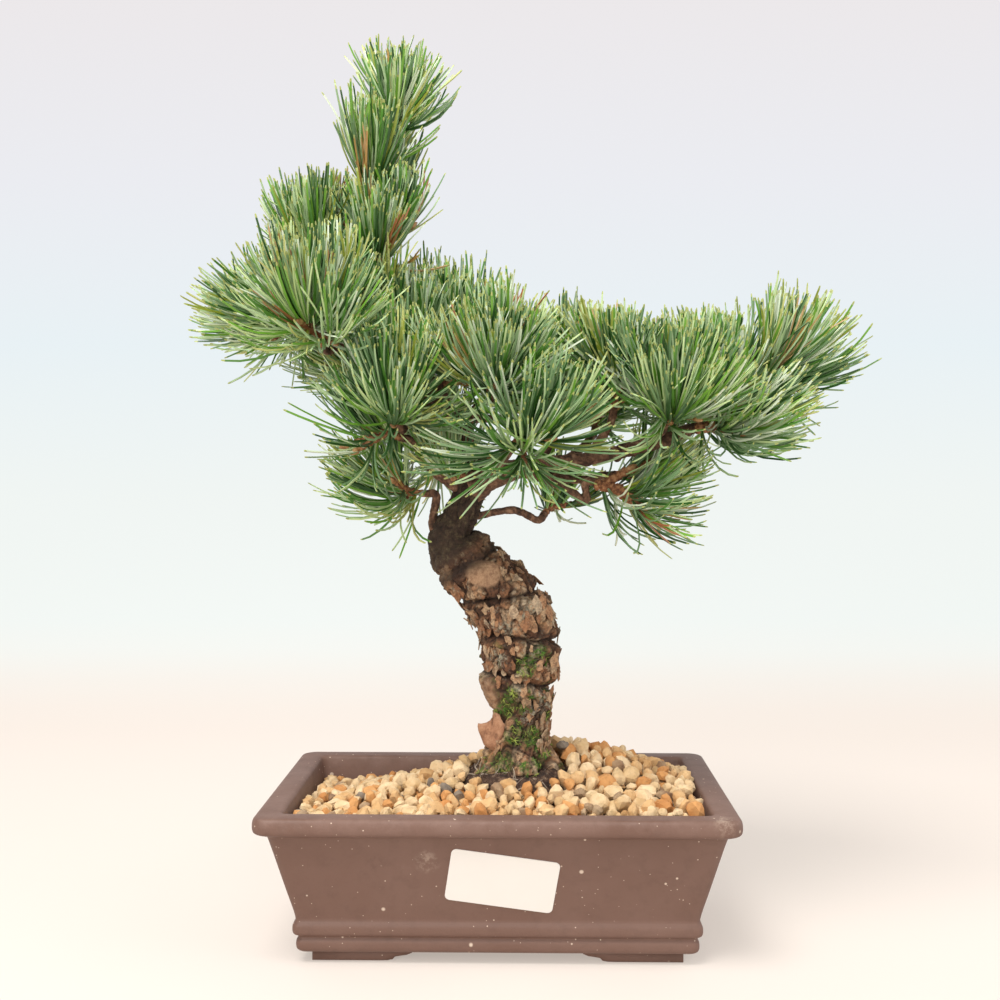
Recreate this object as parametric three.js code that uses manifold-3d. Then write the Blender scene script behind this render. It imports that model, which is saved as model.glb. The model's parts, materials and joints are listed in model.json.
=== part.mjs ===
// A small white pine trained as a bonsai, in an unglazed clay pot topped with gravel.
// Millimetres, +Z up, +X to the right and -Y towards whoever looks at its front.
// The tree and pot are laid out round the middle of the pot, with the table at z = 0, and
// the whole is shifted at the end so that the origin is under the middle of its box.
import * as THREE from "three";
import { mergeVertices } from "three/addons/utils/BufferGeometryUtils.js";
import Module from "manifold-3d";

const wasm = await Module();
wasm.setup();

// Driving dimensions
const gap = 0.3; // between any two pieces that touch on the real tree

const pot = {
  length: 182.4,
  depth: 118.4,
  height: 59.3,
  cornerRadius: 6,
  floorTop: 8,
  footHeight: 4,
  footLength: 142,
  footDepth: 80.4,
};
// A foot's bars along the pot's long and short sides, and how far they run into the pot.
const footBar = { long: [39, 11], short: [26, 10.5], sunk: 1.2 };
// Inset from the rim's outer edge, and height, up the outside, over the rim and down inside.
const potProfile = [
  [17.6, pot.footHeight],
  [15.2, 4.8],
  [14.4, 6.2],
  [14.4, 8.8],
  [15.1, 9.9],
  [15.1, 10.8],
  [13.6, 11.5],
  [13.2, 12.7],
  [13.2, 15],
  [13.8, 16.1],
  [14.6, 17.2],
  [10.1, 33],
  [5.3, 50],
  [4.4, 51.8],
  [1, 52.6],
  [0, 53.8],
  [0, 57.3],
  [0.7, 58.8],
  [2.2, pot.height],
  [8.6, pot.height],
  [10, 58.7],
  [10.6, 57.2],
  [18, pot.floorTop],
];
// The straight slope of the front face, where the label lies.
const potFace = { low: potProfile[10], high: potProfile[12] };

const soil = { top: 45, moundRadius: 44, moundTopRadius: 23, moundTop: 64.5 };
const gravel = {
  middle: 53,
  tilt: [0.02, -0.075],
  rise: 20.5,
  peak: [22, 8],
  spread: [55, 32],
  pebbles: 24,
  pebbleRadius: 4.3,
  spacing: 1.55,
  bareFront: 31,
  bareBack: 24,
  seed: 4021,
};
const label = { length: 41, height: 22, thickness: 0.4, corner: 2, tilt: 8.5, at: [2, 34] };

// The trunk's line from the soil to the leader's tip, and its radius by height.
const trunkBase = soil.moundTop + gap;
const trunkLine = [
  [8, 0, trunkBase],
  [7.8, 1, 77],
  [10.6, 1, 90],
  [8.8, 0, 106],
  [8, -1, 120],
  [3.8, -1, 132],
  [-5, 0, 143],
  [-14, 1, 153],
  [-19, 0, 161],
  [-16.4, -1, 168],
  [-13, 0, 177],
  [-10.6, 1, 186],
  [-15, 2, 198],
  [-29, 5, 223],
  [-42, 5, 248],
  [-57, 0, 276],
  [-52.4, -1, 301],
  [-47.8, 0, 315],
  [-44.5, 0, 325],
];
const trunkRadius = [
  [trunkBase, 17],
  [72, 14],
  [80, 12.6],
  [88, 11.4],
  [96, 12.8],
  [106, 15.8],
  [113, 17],
  [128, 17.8],
  [140, 16],
  [148, 15.2],
  [154, 14],
  [160, 10.2],
  [167, 7.6],
  [176, 7],
  [184, 7.7],
  [192, 7.4],
  [210, 5.4],
  [248, 3.6],
  [300, 2.1],
  [325, 1.6],
];
// Old wire bit into the trunk: height at its middle, slope from left to right, depth.
const wireScars = [
  { z: 102.5, slope: -0.22, depth: 3.4 },
  { z: 120.4, slope: -0.09, depth: 3.8 },
  { z: 136.5, slope: 0.28, depth: 3.2 },
  { z: 151, slope: 0.6, depth: 2 },
];
const scarWidth = 2.6;
const flare = { lobes: 5, share: 0.16, fadeHeight: 16, turn: 0.6 };
const oval = { share: 0.04, heightPerRadian: 15 };
const trunkRings = { sides: 12, lower: 46, lowerShare: 0.42, upper: 14 };

// Needles. They grow in bundles from the facets of their shoot's head, which is a little
// thicker than the rest of the shoot. A bundle forks into three, each a few needles wide.
// Its lengths and its fork are shares of its mass's reach, and its angles are in degrees.
// All bundles rise a little towards the light.
const bundle = {
  width: 2.4,
  lengths: [0.86, 1.06],
  shortest: 0.5,
  fork: 0.34,
  spread: 0.13,
  bow: 0.05,
  tipLean: 10,
  rise: 0.28,
  jitter: 8,
};
// A side shoot's lean and the fan of its own needles are shares of its mass's fan.
const shoot = {
  sides: 5,
  radius: 1.4,
  headRadius: 2.3,
  headMiddle: 2,
  facet: 2.8,
  length: 13,
  sideLengths: [0.9, 1.2],
  sideFoot: [0.3, 0.5],
  sideLean: [0.45, 0.75],
  sideFan: 0.85,
  sideBands: 2,
};
const goldenAngle = 137.508;
const boughTipRadius = 1.6;
const leadLength = 5;

// Each mass of needles: the limb that it grows from and how far along, the bends of its
// bough on the way (none where its stem springs from the trunk itself), the bough's radius
// where it starts, the heart that its needles spread from, the way it faces, its reach,
// the lean of its lowest needles in degrees, its number of shoots and the bands of needles
// on its stem.
const masses = [
  { name: "apex", from: "trunk", share: 1, heart: [-40, -1, 333.5],
    aim: [0.35, -0.1, 1], reach: 30, fan: 62, shoots: 1, bands: 3 },
  { name: "leader_left", from: "trunk", share: 0.88, heart: [-51, -8, 306],
    aim: [-0.15, -0.3, 1], reach: 35, fan: 45, shoots: 1, bands: 3 },
  { name: "leader_right", from: "trunk", share: 0.86, heart: [-45, 6, 301],
    aim: [0.4, 0.3, 1], reach: 31, fan: 55, shoots: 1, bands: 2 },
  { name: "leader_foot", from: "trunk", share: 0.785, heart: [-44, -10, 284],
    aim: [0.5, -0.6, 0.6], reach: 30, fan: 65, shoots: 2, bands: 3 },
  { name: "top_left", from: "trunk", share: 0.77, radius: 2.2, bends: [],
    heart: [-76, 4, 281], aim: [-0.15, -0.1, 1], reach: 31, fan: 62, shoots: 3, bands: 3 },
  { name: "left_tip", from: "trunk", share: 0.66, radius: 3, bends: [[-60, -2, 250]],
    heart: [-91, -6, 251], aim: [-1, -0.1, 0.08], reach: 37, fan: 74, shoots: 2, bands: 3 },
  { name: "left_front", from: "left_tip", share: 0.45, radius: 1.8, bends: [],
    heart: [-71, -31, 246], aim: [-0.15, -0.8, 0.6], reach: 37, fan: 100, shoots: 2, bands: 3 },
  { name: "left_back", from: "trunk", share: 0.7, radius: 2.2, bends: [[-64, 14, 262]],
    heart: [-88, 31, 262], aim: [-0.4, 0.8, 0.45], reach: 34, fan: 80, shoots: 1, bands: 2 },
  { name: "left_inner", from: "trunk", share: 0.625, heart: [-46, -13, 252],
    aim: [0.2, -0.6, 0.8], reach: 32, fan: 80, shoots: 2, bands: 3 },
  { name: "crown_top", from: "trunk", share: 0.585, heart: [-13, 9, 243],
    aim: [0.35, 0.1, 0.9], reach: 37, fan: 84, shoots: 2, bands: 3 },
  { name: "crown_back", from: "trunk", share: 0.61, heart: [-31, 22, 251],
    aim: [0, 0.5, 0.85], reach: 35, fan: 80, shoots: 1, bands: 2 },
  { name: "front_left", from: "trunk", share: 0.545, radius: 2.2, bends: [[-33, -15, 216]],
    heart: [-43, -38, 214], aim: [-0.3, -0.75, 0.55], reach: 35, fan: 98, shoots: 2, bands: 3 },
  { name: "low_left_front", from: "trunk", share: 0.435, radius: 2.2,
    bends: [[-27, -8, 188]], heart: [-50, -26, 204], aim: [-0.9, -0.5, 0.25],
    reach: 31, fan: 72, shoots: 2, bands: 2 },
  { name: "collar", from: "trunk", share: 0.46, heart: [-21, -19, 188],
    aim: [-0.45, -0.8, 0.3], reach: 30, fan: 66, shoots: 1, bands: 2 },
  { name: "low_left", from: "trunk", share: 0.335, radius: 2.2, bends: [[-27, -1, 164]],
    heart: [-42, -10, 180], aim: [-0.8, -0.4, 0.1], reach: 35, fan: 88, shoots: 2, bands: 3 },
  { name: "back_left", from: "trunk", share: 0.575, radius: 2.2, bends: [[-42, 20, 229]],
    heart: [-58, 42, 232], aim: [-0.45, 0.85, 0.3], reach: 36, fan: 84, shoots: 2, bands: 2 },
  { name: "back_low", from: "trunk", share: 0.475, radius: 2, bends: [[-21, 17, 196]],
    heart: [-30, 42, 196], aim: [-0.3, 0.95, 0.1], reach: 36, fan: 78, shoots: 1, bands: 2 },
  { name: "front_middle", from: "trunk", share: 0.49, radius: 2.2,
    bends: [[-12, -9, 206], [-7, -24, 214]], heart: [-2, -40, 225],
    aim: [0.05, -0.85, 0.5], reach: 33, fan: 96, shoots: 2, bands: 3 },
  { name: "front_low", from: "trunk", share: 0.44, radius: 2.2, bends: [[0, -22, 190]],
    heart: [11, -45, 201], aim: [0.15, -1, 0.05], reach: 38, fan: 100, shoots: 2, bands: 2 },
  { name: "back_middle", from: "trunk", share: 0.5, radius: 2.2, bends: [[-12, 18, 209]],
    heart: [3, 50, 220], aim: [0.1, 0.85, 0.5], reach: 36, fan: 86, shoots: 1, bands: 2 },
  { name: "right_stub", from: "trunk", share: 0.45, radius: 4.3,
    bends: [[0, -2, 186.5], [13, -5, 190], [28.7, -8, 191.3], [44, -10, 194], [63, -12, 198.5]],
    heart: [92, -17, 206], aim: [0.95, -0.3, 0.08], reach: 38, fan: 84, shoots: 2, bands: 3 },
  { name: "top_middle", from: "right_stub", share: 0.3, radius: 2, bends: [[23, 0, 203]],
    heart: [25, 3, 225], aim: [0, 0.1, 1], reach: 31, fan: 84, shoots: 2, bands: 3 },
  { name: "top_right", from: "right_stub", share: 0.52, radius: 2, bends: [],
    heart: [48, -14, 226], aim: [0.15, -0.2, 1], reach: 32, fan: 88, shoots: 3, bands: 3 },
  { name: "right_front", from: "right_stub", share: 0.7, radius: 2, bends: [],
    heart: [68, -31, 215], aim: [0.2, -0.8, 0.7], reach: 36, fan: 94, shoots: 2, bands: 3 },
  { name: "right_tip", from: "right_stub", share: 0.83, radius: 2.4,
    bends: [[86, -7, 209]], heart: [113, 0, 229], aim: [0.85, 0.05, 0.5],
    reach: 37, fan: 74, shoots: 2, bands: 2 },
  { name: "right_top", from: "right_tip", share: 0.42, radius: 1.8, bends: [],
    heart: [92, -12, 225], aim: [0.1, -0.25, 1], reach: 30, fan: 84, shoots: 1, bands: 2 },
  { name: "right_back", from: "right_stub", share: 0.63, radius: 2.2, bends: [[68, 6, 205]],
    heart: [83, 31, 219], aim: [0.35, 0.8, 0.5], reach: 36, fan: 84, shoots: 1, bands: 2 },
  { name: "back_right", from: "right_stub", share: 0.42, radius: 2, bends: [[36, 12, 199]],
    heart: [43, 44, 213], aim: [0.15, 0.85, 0.5], reach: 36, fan: 86, shoots: 2, bands: 2 },
  { name: "low_right", from: "right_stub", share: 0.2, radius: 2.3,
    bends: [[25, -9, 182], [35, -11, 176]], heart: [52, -16, 179],
    aim: [0.95, -0.2, -0.25], reach: 37, fan: 78, shoots: 2, bands: 3 },
  { name: "low_right_back", from: "right_stub", share: 0.24, radius: 1.9,
    bends: [[32, 2, 184]], heart: [61, 13, 187], aim: [0.95, 0.35, 0.05],
    reach: 36, fan: 70, shoots: 1, bands: 2 },
  { name: "under", from: "trunk", share: 0.395, radius: 1.5, bends: [[6, 1, 173.5]],
    heart: [25, 21, 174], aim: [0.5, 0.75, 0.5], reach: 20, fan: 66, shoots: 1, bands: 1 },
];

// Small helpers
const vector = (p) => new THREE.Vector3(...p);
const radians = THREE.MathUtils.degToRad;
const lerp = THREE.MathUtils.lerp;

// The same draws on every run, from 0 to 1.
function seeded(seed) {
  let state = seed;
  return () => {
    state = (state * 48271) % 2147483647;
    return state / 2147483647;
  };
}

// A value read off a list of [place, value] pairs, straight between them.
function readOff(pairs, place) {
  const next = pairs.findIndex(([at]) => at > place);
  if (next === 0) return pairs[0][1];
  if (next < 0) return pairs.at(-1)[1];
  const [[a, low], [b, high]] = [pairs[next - 1], pairs[next]];
  return lerp(low, high, (place - a) / (b - a));
}

// Materials
const matte = (color, roughness) =>
  new THREE.MeshStandardMaterial({ color, roughness, metalness: 0 });

const finish = {
  pot: matte("#85604f", 0.85),
  label: matte("#fff7ed", 0.75),
  soil: matte("#3b2a1e", 1),
  gravel: matte("#dcc49c", 0.9),
  bark: matte("#7a5c46", 0.95),
  twig: matte("#8a5a3a", 0.9),
  needles: matte("#5f8a5c", 0.6),
};

// Solids
function solidOf(geometry) {
  const bare = geometry.clone();
  bare.deleteAttribute("normal");
  bare.deleteAttribute("uv");
  const merged = mergeVertices(bare, 1e-4);
  return new wasm.Manifold(
    new wasm.Mesh({
      numProp: 3,
      vertProperties: new Float32Array(merged.attributes.position.array),
      triVerts: new Uint32Array(merged.index.array),
    }),
  );
}

function geometryOf(solid) {
  const { vertProperties, triVerts } = solid.getMesh();
  const indexed = new THREE.BufferGeometry();
  indexed.setAttribute("position", new THREE.BufferAttribute(vertProperties, 3));
  indexed.setIndex(new THREE.BufferAttribute(triVerts, 1));
  const flat = indexed.toNonIndexed();
  flat.computeVertexNormals();
  return flat;
}

// A boolean can leave a loose scrap, so only the largest body is kept.
function largest(solid) {
  const bodies = solid.decompose();
  return bodies.reduce((best, body) => (body.volume() > best.volume() ? body : best));
}

// A closed skin over a stack of rings with equal numbers of points, each counter-clockwise
// about the way the stack runs, with flat ends.
function skin(rings) {
  const around = rings[0].length;
  const points = rings.flat();
  const faces = [];
  const start = (k) => k * around;
  for (let k = 1; k < rings.length; k++)
    for (let i = 0; i < around; i++) {
      const j = (i + 1) % around;
      const [a, b, c, d] = [start(k - 1) + i, start(k - 1) + j, start(k) + i, start(k) + j];
      faces.push(a, b, d, a, d, c);
    }
  const cap = (ring, first, turn) => {
    const middle = new THREE.Vector3();
    ring.forEach((p) => middle.addScaledVector(p, 1 / around));
    points.push(middle);
    for (let i = 0; i < around; i++) {
      const j = (i + 1) % around;
      faces.push(points.length - 1, first + (turn ? j : i), first + (turn ? i : j));
    }
  };
  cap(rings.at(-1), start(rings.length - 1), false);
  cap(rings[0], 0, true);
  const geometry = new THREE.BufferGeometry().setFromPoints(points);
  geometry.setIndex(faces);
  return solidOf(geometry);
}

// Rings square to a curve, at the given shares of its length.
function ringsAlong(curve, shares, sides, radiusAt) {
  let normal = new THREE.Vector3(1, 0, 0);
  if (Math.abs(curve.getTangentAt(0).x) > 0.9) normal = new THREE.Vector3(0, 1, 0);
  return shares.map((share) => {
    const middle = curve.getPointAt(share);
    const along = curve.getTangentAt(share);
    normal = normal.clone().addScaledVector(along, -normal.dot(along)).normalize();
    const across = new THREE.Vector3().crossVectors(along, normal);
    return Array.from({ length: sides }, (_, i) => {
      const angle = (2 * Math.PI * i) / sides;
      const way = normal.clone().multiplyScalar(Math.cos(angle));
      way.addScaledVector(across, Math.sin(angle));
      return middle.clone().addScaledVector(way, radiusAt(share, middle, way));
    });
  });
}

const evenShares = (steps) => Array.from({ length: steps + 1 }, (_, i) => i / steps);

// Pot
function roundedRing(halfX, halfY, corner, z) {
  const steps = 3;
  const ring = [];
  [[1, 1, 0], [-1, 1, 90], [-1, -1, 180], [1, -1, 270]].forEach(([sx, sy, turn]) => {
    for (let i = 0; i <= steps; i++) {
      const angle = radians(turn + (90 * i) / steps);
      const x = sx * (halfX - corner) + corner * Math.cos(angle);
      const y = sy * (halfY - corner) + corner * Math.sin(angle);
      ring.push(new THREE.Vector3(x, y, z));
    }
  });
  return ring;
}

function potRing(inset, z) {
  const corner = Math.max(pot.cornerRadius - inset * 0.3, 2.5);
  return roundedRing(pot.length / 2 - inset, pot.depth / 2 - inset, corner, z);
}

// The inner wall's inset at a height.
function wallInset(z) {
  const [[rimInset, rimZ], [floorInset, floorZ]] = potProfile.slice(-2);
  return lerp(rimInset, floorInset, (rimZ - z) / (rimZ - floorZ));
}

// A foot under one corner: a bar along the long side and one along the short side, whose
// ends rise in the curl of a cloud, drawn in shares of the bar's length and height.
function footBars(sx, sy) {
  const bar = ([length, width]) => {
    const high = pot.footHeight;
    const side = new THREE.Shape();
    side.moveTo(0, 0);
    side.lineTo(length * 0.66, 0);
    side.quadraticCurveTo(length * 0.8, 0, length * 0.82, high * 0.45);
    side.quadraticCurveTo(length * 0.95, high * 0.4, length, high);
    side.lineTo(length, high + footBar.sunk);
    side.lineTo(0, high + footBar.sunk);
    const flat = new THREE.ExtrudeGeometry(side, {
      depth: width,
      bevelEnabled: false,
      curveSegments: 3,
    });
    return flat.rotateX(Math.PI / 2);
  };
  const along = bar(footBar.long);
  along.translate(-pot.footLength / 2, -pot.footDepth / 2 + footBar.long[1], 0);
  const across = bar(footBar.short);
  across.rotateZ(Math.PI / 2).translate(-pot.footLength / 2, -pot.footDepth / 2, 0);
  const place = new THREE.Matrix4().makeScale(-sx, -sy, 1);
  return [along, across].map((geometry) => {
    geometry.deleteAttribute("normal");
    geometry.deleteAttribute("uv");
    const merged = mergeVertices(geometry.applyMatrix4(place), 1e-4);
    if (sx * sy < 0) merged.index.array.reverse();
    return solidOf(merged);
  });
}

function makePot() {
  let whole = skin(potProfile.map(([inset, z]) => potRing(inset, z)));
  [[1, 1], [-1, 1], [-1, -1], [1, -1]].forEach(([sx, sy]) => {
    footBars(sx, sy).forEach((bar) => {
      whole = whole.add(bar);
    });
  });
  return whole;
}

// The label lies on the sloping front face. It is blank.
function makeLabel() {
  const [x, z] = label.at;
  const { low, high } = potFace;
  const slope = Math.atan2(low[0] - high[0], high[1] - low[1]);
  const inset = lerp(low[0], high[0], (z - low[1]) / (high[1] - low[1]));
  const [w, h, r] = [label.length / 2, label.height / 2, label.corner];
  const outline = new THREE.Shape();
  outline.absarc(w - r, h - r, r, 0, Math.PI / 2);
  outline.absarc(r - w, h - r, r, Math.PI / 2, Math.PI);
  outline.absarc(r - w, r - h, r, Math.PI, 1.5 * Math.PI);
  outline.absarc(w - r, r - h, r, 1.5 * Math.PI, 2 * Math.PI);
  const plate = new THREE.ExtrudeGeometry(outline, {
    depth: label.thickness,
    bevelEnabled: false,
    curveSegments: 2,
  });
  const mesh = new THREE.Mesh(plate, finish.label);
  mesh.name = "label";
  mesh.rotation.set(Math.PI / 2 + slope, 0, 0);
  mesh.rotateZ(radians(-label.tilt));
  mesh.position.set(x, -pot.depth / 2 + inset, z);
  mesh.translateZ(gap);
  return mesh;
}

// Soil and gravel. The soil mounds up round the trunk's foot, and the gravel lies round the
// mound, bare of large pebbles close to the trunk.
function makeMoundCone(extra) {
  const height = soil.moundTop - soil.top + 1 + extra;
  const cone = new THREE.CylinderGeometry(
    soil.moundTopRadius + extra,
    soil.moundRadius + extra,
    height,
    20,
  );
  cone.rotateX(Math.PI / 2);
  cone.translate(trunkLine[0][0], trunkLine[0][1], soil.moundTop + extra - height / 2);
  return solidOf(cone);
}

function makeSoil() {
  const bottom = pot.floorTop + gap;
  const ball = skin([bottom, soil.top].map((z) => potRing(wallInset(z) + gap, z)));
  return ball.add(makeMoundCone(0));
}

function gravelTop(x, y) {
  const [[px, py], [wx, wy], [tx, ty]] = [gravel.peak, gravel.spread, gravel.tilt];
  const heap = Math.exp(-(((x - px) / wx) ** 2) - ((y - py) / wy) ** 2);
  return gravel.middle + tx * x + ty * y + gravel.rise * heap;
}

function makeGravel(trunkRoom) {
  const bottom = soil.top + gap;
  const inset = wallInset(bottom) + gap;
  const rings = [bottom, gravel.middle].map((z) => potRing(inset, z));
  rings[1].forEach((p) => p.setZ(gravelTop(p.x, p.y)));
  const middle = vector([...gravel.peak, 0]);
  [0.84, 0.64, 0.42, 0.2].forEach((share) => {
    rings.push(
      rings[1].map((p) => {
        const q = middle.clone().lerp(p, share);
        return q.setZ(gravelTop(q.x, q.y));
      }),
    );
  });
  let bed = skin(rings);
  const random = seeded(gravel.seed);
  const placed = [];
  for (let tries = 0; tries < 3000 && placed.length < gravel.pebbles; tries++) {
    const size = gravel.pebbleRadius * lerp(0.75, 1.25, random());
    const clear = inset + size;
    const at = new THREE.Vector3(
      (2 * random() - 1) * (pot.length / 2 - clear),
      (2 * random() - 1) * (pot.depth / 2 - clear),
      0,
    );
    at.z = gravelTop(at.x, at.y) + 0.1 * size;
    const turn = new THREE.Euler(...[0, 0, 0].map(() => 2 * Math.PI * random()));
    const flat = lerp(0.6, 0.9, random());
    const fromTrunk = Math.hypot(at.x - trunkLine[0][0], at.y - trunkLine[0][1]);
    if (fromTrunk < (at.y < 4 ? gravel.bareFront : gravel.bareBack)) continue;
    const apart = gravel.spacing * gravel.pebbleRadius;
    if (placed.some((p) => p.distanceTo(at) < apart)) continue;
    placed.push(at);
    const stone = new THREE.IcosahedronGeometry(size, 0);
    stone.scale(1, 0.82, flat);
    stone.applyMatrix4(new THREE.Matrix4().makeRotationFromEuler(turn));
    stone.translate(at.x, at.y, at.z);
    bed = bed.add(solidOf(stone));
  }
  return largest(bed.subtract(makeMoundCone(gap)).subtract(trunkRoom));
}

// Limbs
const limbs = {};
const limbRings = { apart: 11, thickSides: 8, thinSides: 5, thick: 3 };
const capsuleLength = 6;

function addLimb(name, points, radiusAt) {
  const curve = new THREE.CatmullRomCurve3(points, false, "centripetal");
  curve.arcLengthDivisions = 400;
  limbs[name] = { curve, radiusAt, obstacles: capsules(curve, radiusAt) };
  return limbs[name];
}

// A limb as short straight stretches with a radius, to keep needles off it.
function capsules(curve, radiusAt) {
  const steps = Math.ceil(curve.getLength() / capsuleLength);
  return evenShares(steps).slice(1).map((share, i) => {
    const [from, to] = [curve.getPointAt(i / steps), curve.getPointAt(share)];
    const radius = Math.max(radiusAt(i / steps, from), radiusAt(share, to));
    return { line: new THREE.Line3(from, to), radius };
  });
}

function trunkRadiusAt(share, middle, way) {
  let radius = readOff(trunkRadius, middle.z);
  if (!way) return radius * (1 + 2 * oval.share);
  const angle = Math.atan2(way.y, way.x);
  const low = Math.max(0, 1 - (middle.z - trunkBase) / flare.fadeHeight);
  radius *= 1 + flare.share * low * Math.cos(flare.lobes * angle + flare.turn);
  radius *= 1 + oval.share * Math.cos(2 * angle + middle.z / oval.heightPerRadian);
  wireScars.forEach(({ z, slope, depth }) => {
    const off = middle.z + way.z * radius - z - slope * way.x * radius;
    radius -= depth * Math.exp(-((off / scarWidth) ** 2));
  });
  return radius;
}

// Rings are close together where the trunk is scarred and further apart up the leader.
function trunkSolid(extra) {
  const { curve } = limbs.trunk;
  const { sides, lowerShare } = trunkRings;
  const lower = evenShares(trunkRings.lower).map((s) => s * lowerShare);
  const upper = evenShares(trunkRings.upper).slice(1).map((s) => lerp(lowerShare, 1, s));
  const grown = (share, middle, way) => trunkRadiusAt(share, middle, way) + extra;
  const rings = ringsAlong(curve, [...lower, ...upper], sides, grown);
  rings[0].forEach((p) => p.setZ(trunkBase - extra));
  return skin(rings);
}

function limbSolid(name, extra) {
  if (name === "trunk") return trunkSolid(extra);
  const { curve, radiusAt } = limbs[name];
  const steps = Math.max(3, Math.round(curve.getLength() / limbRings.apart));
  const sides = radiusAt(0) > limbRings.thick ? limbRings.thickSides : limbRings.thinSides;
  return skin(ringsAlong(curve, evenShares(steps), sides, (share) => radiusAt(share) + extra));
}

// Where a mass hangs on its bough, or on the trunk where it has none.
function stemOf(mass) {
  const heart = vector(mass.heart);
  const aim = vector(mass.aim).normalize();
  const parent = limbs[mass.from].curve;
  if (mass.share === 1) {
    const [top, along] = [parent.getPointAt(1), parent.getTangentAt(1)];
    const lean = along.angleTo(heart.clone().sub(top));
    const foot = top.addScaledVector(along, gap + shoot.radius * Math.sin(lean));
    return { heart, aim, foot };
  }
  if (!mass.bends) return { heart, aim, foot: parent.getPointAt(mass.share) };
  const tip = heart.clone().addScaledVector(aim, -shoot.length);
  return { heart, aim, tip, foot: tip.clone().addScaledVector(aim, gap) };
}

// A bough's last stretch runs straight towards the heart of its mass.
function addBoughs() {
  masses.filter((mass) => mass.bends).forEach((mass) => {
    const start = limbs[mass.from].curve.getPointAt(mass.share);
    const { tip, aim } = stemOf(mass);
    const lead = tip.clone().addScaledVector(aim, -leadLength);
    const points = [start, ...mass.bends.map(vector), lead, tip];
    const radiusAt = (share) => lerp(mass.radius, boughTipRadius, share ** 0.8);
    addLimb(mass.name, points, radiusAt);
  });
}

// A bough is cut clear of the limb that it grows from.
function makeBough(mass) {
  return largest(limbSolid(mass.name, 0).subtract(limbSolid(mass.from, gap)));
}

// Masses of needles
const hearts = masses.map((mass) => vector(mass.heart));

// Whether points are nearer one centre than any other, by a little.
function isNearest(points, centre, others, apart) {
  return others.every((other) => {
    const between = other.clone().sub(centre);
    const middle = other.clone().add(centre).multiplyScalar(0.5);
    return points.every((p) => p.clone().sub(middle).dot(between) < -apart * between.length());
  });
}

const obstacles = [];

// Whether points stay in the mass's own space: nearer its heart than any other heart, and
// off every limb and every other mass's stem.
function isFree(points, own, radius) {
  const others = hearts.filter((_, k) => k !== own);
  if (!isNearest(points, hearts[own], others, radius + gap)) return false;
  const near = new THREE.Vector3();
  return obstacles.every(({ line, radius: thick, mass }) => {
    if (mass === own) return true;
    return points.every((p) => {
      line.closestPointToPoint(p, true, near);
      return near.distanceTo(p) > thick + radius + 2 * gap;
    });
  });
}

// Two directions square to one, to turn round it.
function squareTo(way) {
  const up = Math.abs(way.z) > 0.95 ? vector([1, 0, 0]) : vector([0, 0, 1]);
  const side = new THREE.Vector3().crossVectors(way, up).normalize();
  return [side, new THREE.Vector3().crossVectors(side, way)];
}

// The way that leans off another by an angle, turned round it by a second angle.
function leaning(way, lean, turn) {
  const [side, over] = squareTo(way);
  const out = side.multiplyScalar(Math.cos(turn)).addScaledVector(over, Math.sin(turn));
  const leant = way.clone().multiplyScalar(Math.cos(lean));
  return leant.addScaledVector(out, Math.sin(lean));
}

// A mass's shoots: its stem, then side shoots that spring from the stem by turns of the
// golden angle, each skipped if it would leave the mass's space.
function shootsOf(mass, own, random) {
  const { heart, aim, foot } = stemOf(mass);
  const stem = heart.clone().sub(foot);
  const way = stem.clone().normalize();
  const shoots = [{ from: foot, way, length: stem.length(), bands: mass.bands, fan: mass.fan }];
  const phase = 2 * Math.PI * random();
  for (let k = 1; k < mass.shoots; k++) {
    const from = foot.clone().addScaledVector(stem, lerp(...shoot.sideFoot, random()));
    const lean = radians(mass.fan * lerp(...shoot.sideLean, random()));
    const side = leaning(aim, lean, phase + k * radians(goldenAngle));
    const length = shoot.length * lerp(...shoot.sideLengths, random());
    const line = [0.4, 0.7, 1].map((s) => from.clone().addScaledVector(side, length * s));
    if (!isFree(line, own, shoot.headRadius)) continue;
    const fan = mass.fan * shoot.sideFan;
    shoots.push({ from, way: side, length, bands: shoot.sideBands, fan });
  }
  return shoots;
}

const headOf = ({ from, way, length }) =>
  from.clone().addScaledVector(way, length - shoot.headMiddle);

const headLengthOf = ({ bands }) => bands * shoot.facet * Math.sqrt(0.75);

// The way that a bundle runs: out from its shoot, and more along it towards the shoot's tip.
function bundleWay(root, { from, way, length, bands, fan }, random) {
  const height = root.clone().sub(from).dot(way);
  const headLength = headLengthOf({ bands });
  const share = Math.min(1, (height - length + headLength) / headLength);
  const out = root.clone().sub(from).addScaledVector(way, -height).normalize();
  out.applyAxisAngle(way, radians(lerp(-bundle.jitter, bundle.jitter, random())));
  const jitter = lerp(-bundle.jitter, bundle.jitter, random());
  const lean = radians(lerp(fan, bundle.tipLean, share) + jitter);
  const run = way.clone().multiplyScalar(Math.cos(lean)).addScaledVector(out, Math.sin(lean));
  return run.add(vector([0, 0, bundle.rise])).normalize();
}

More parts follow.
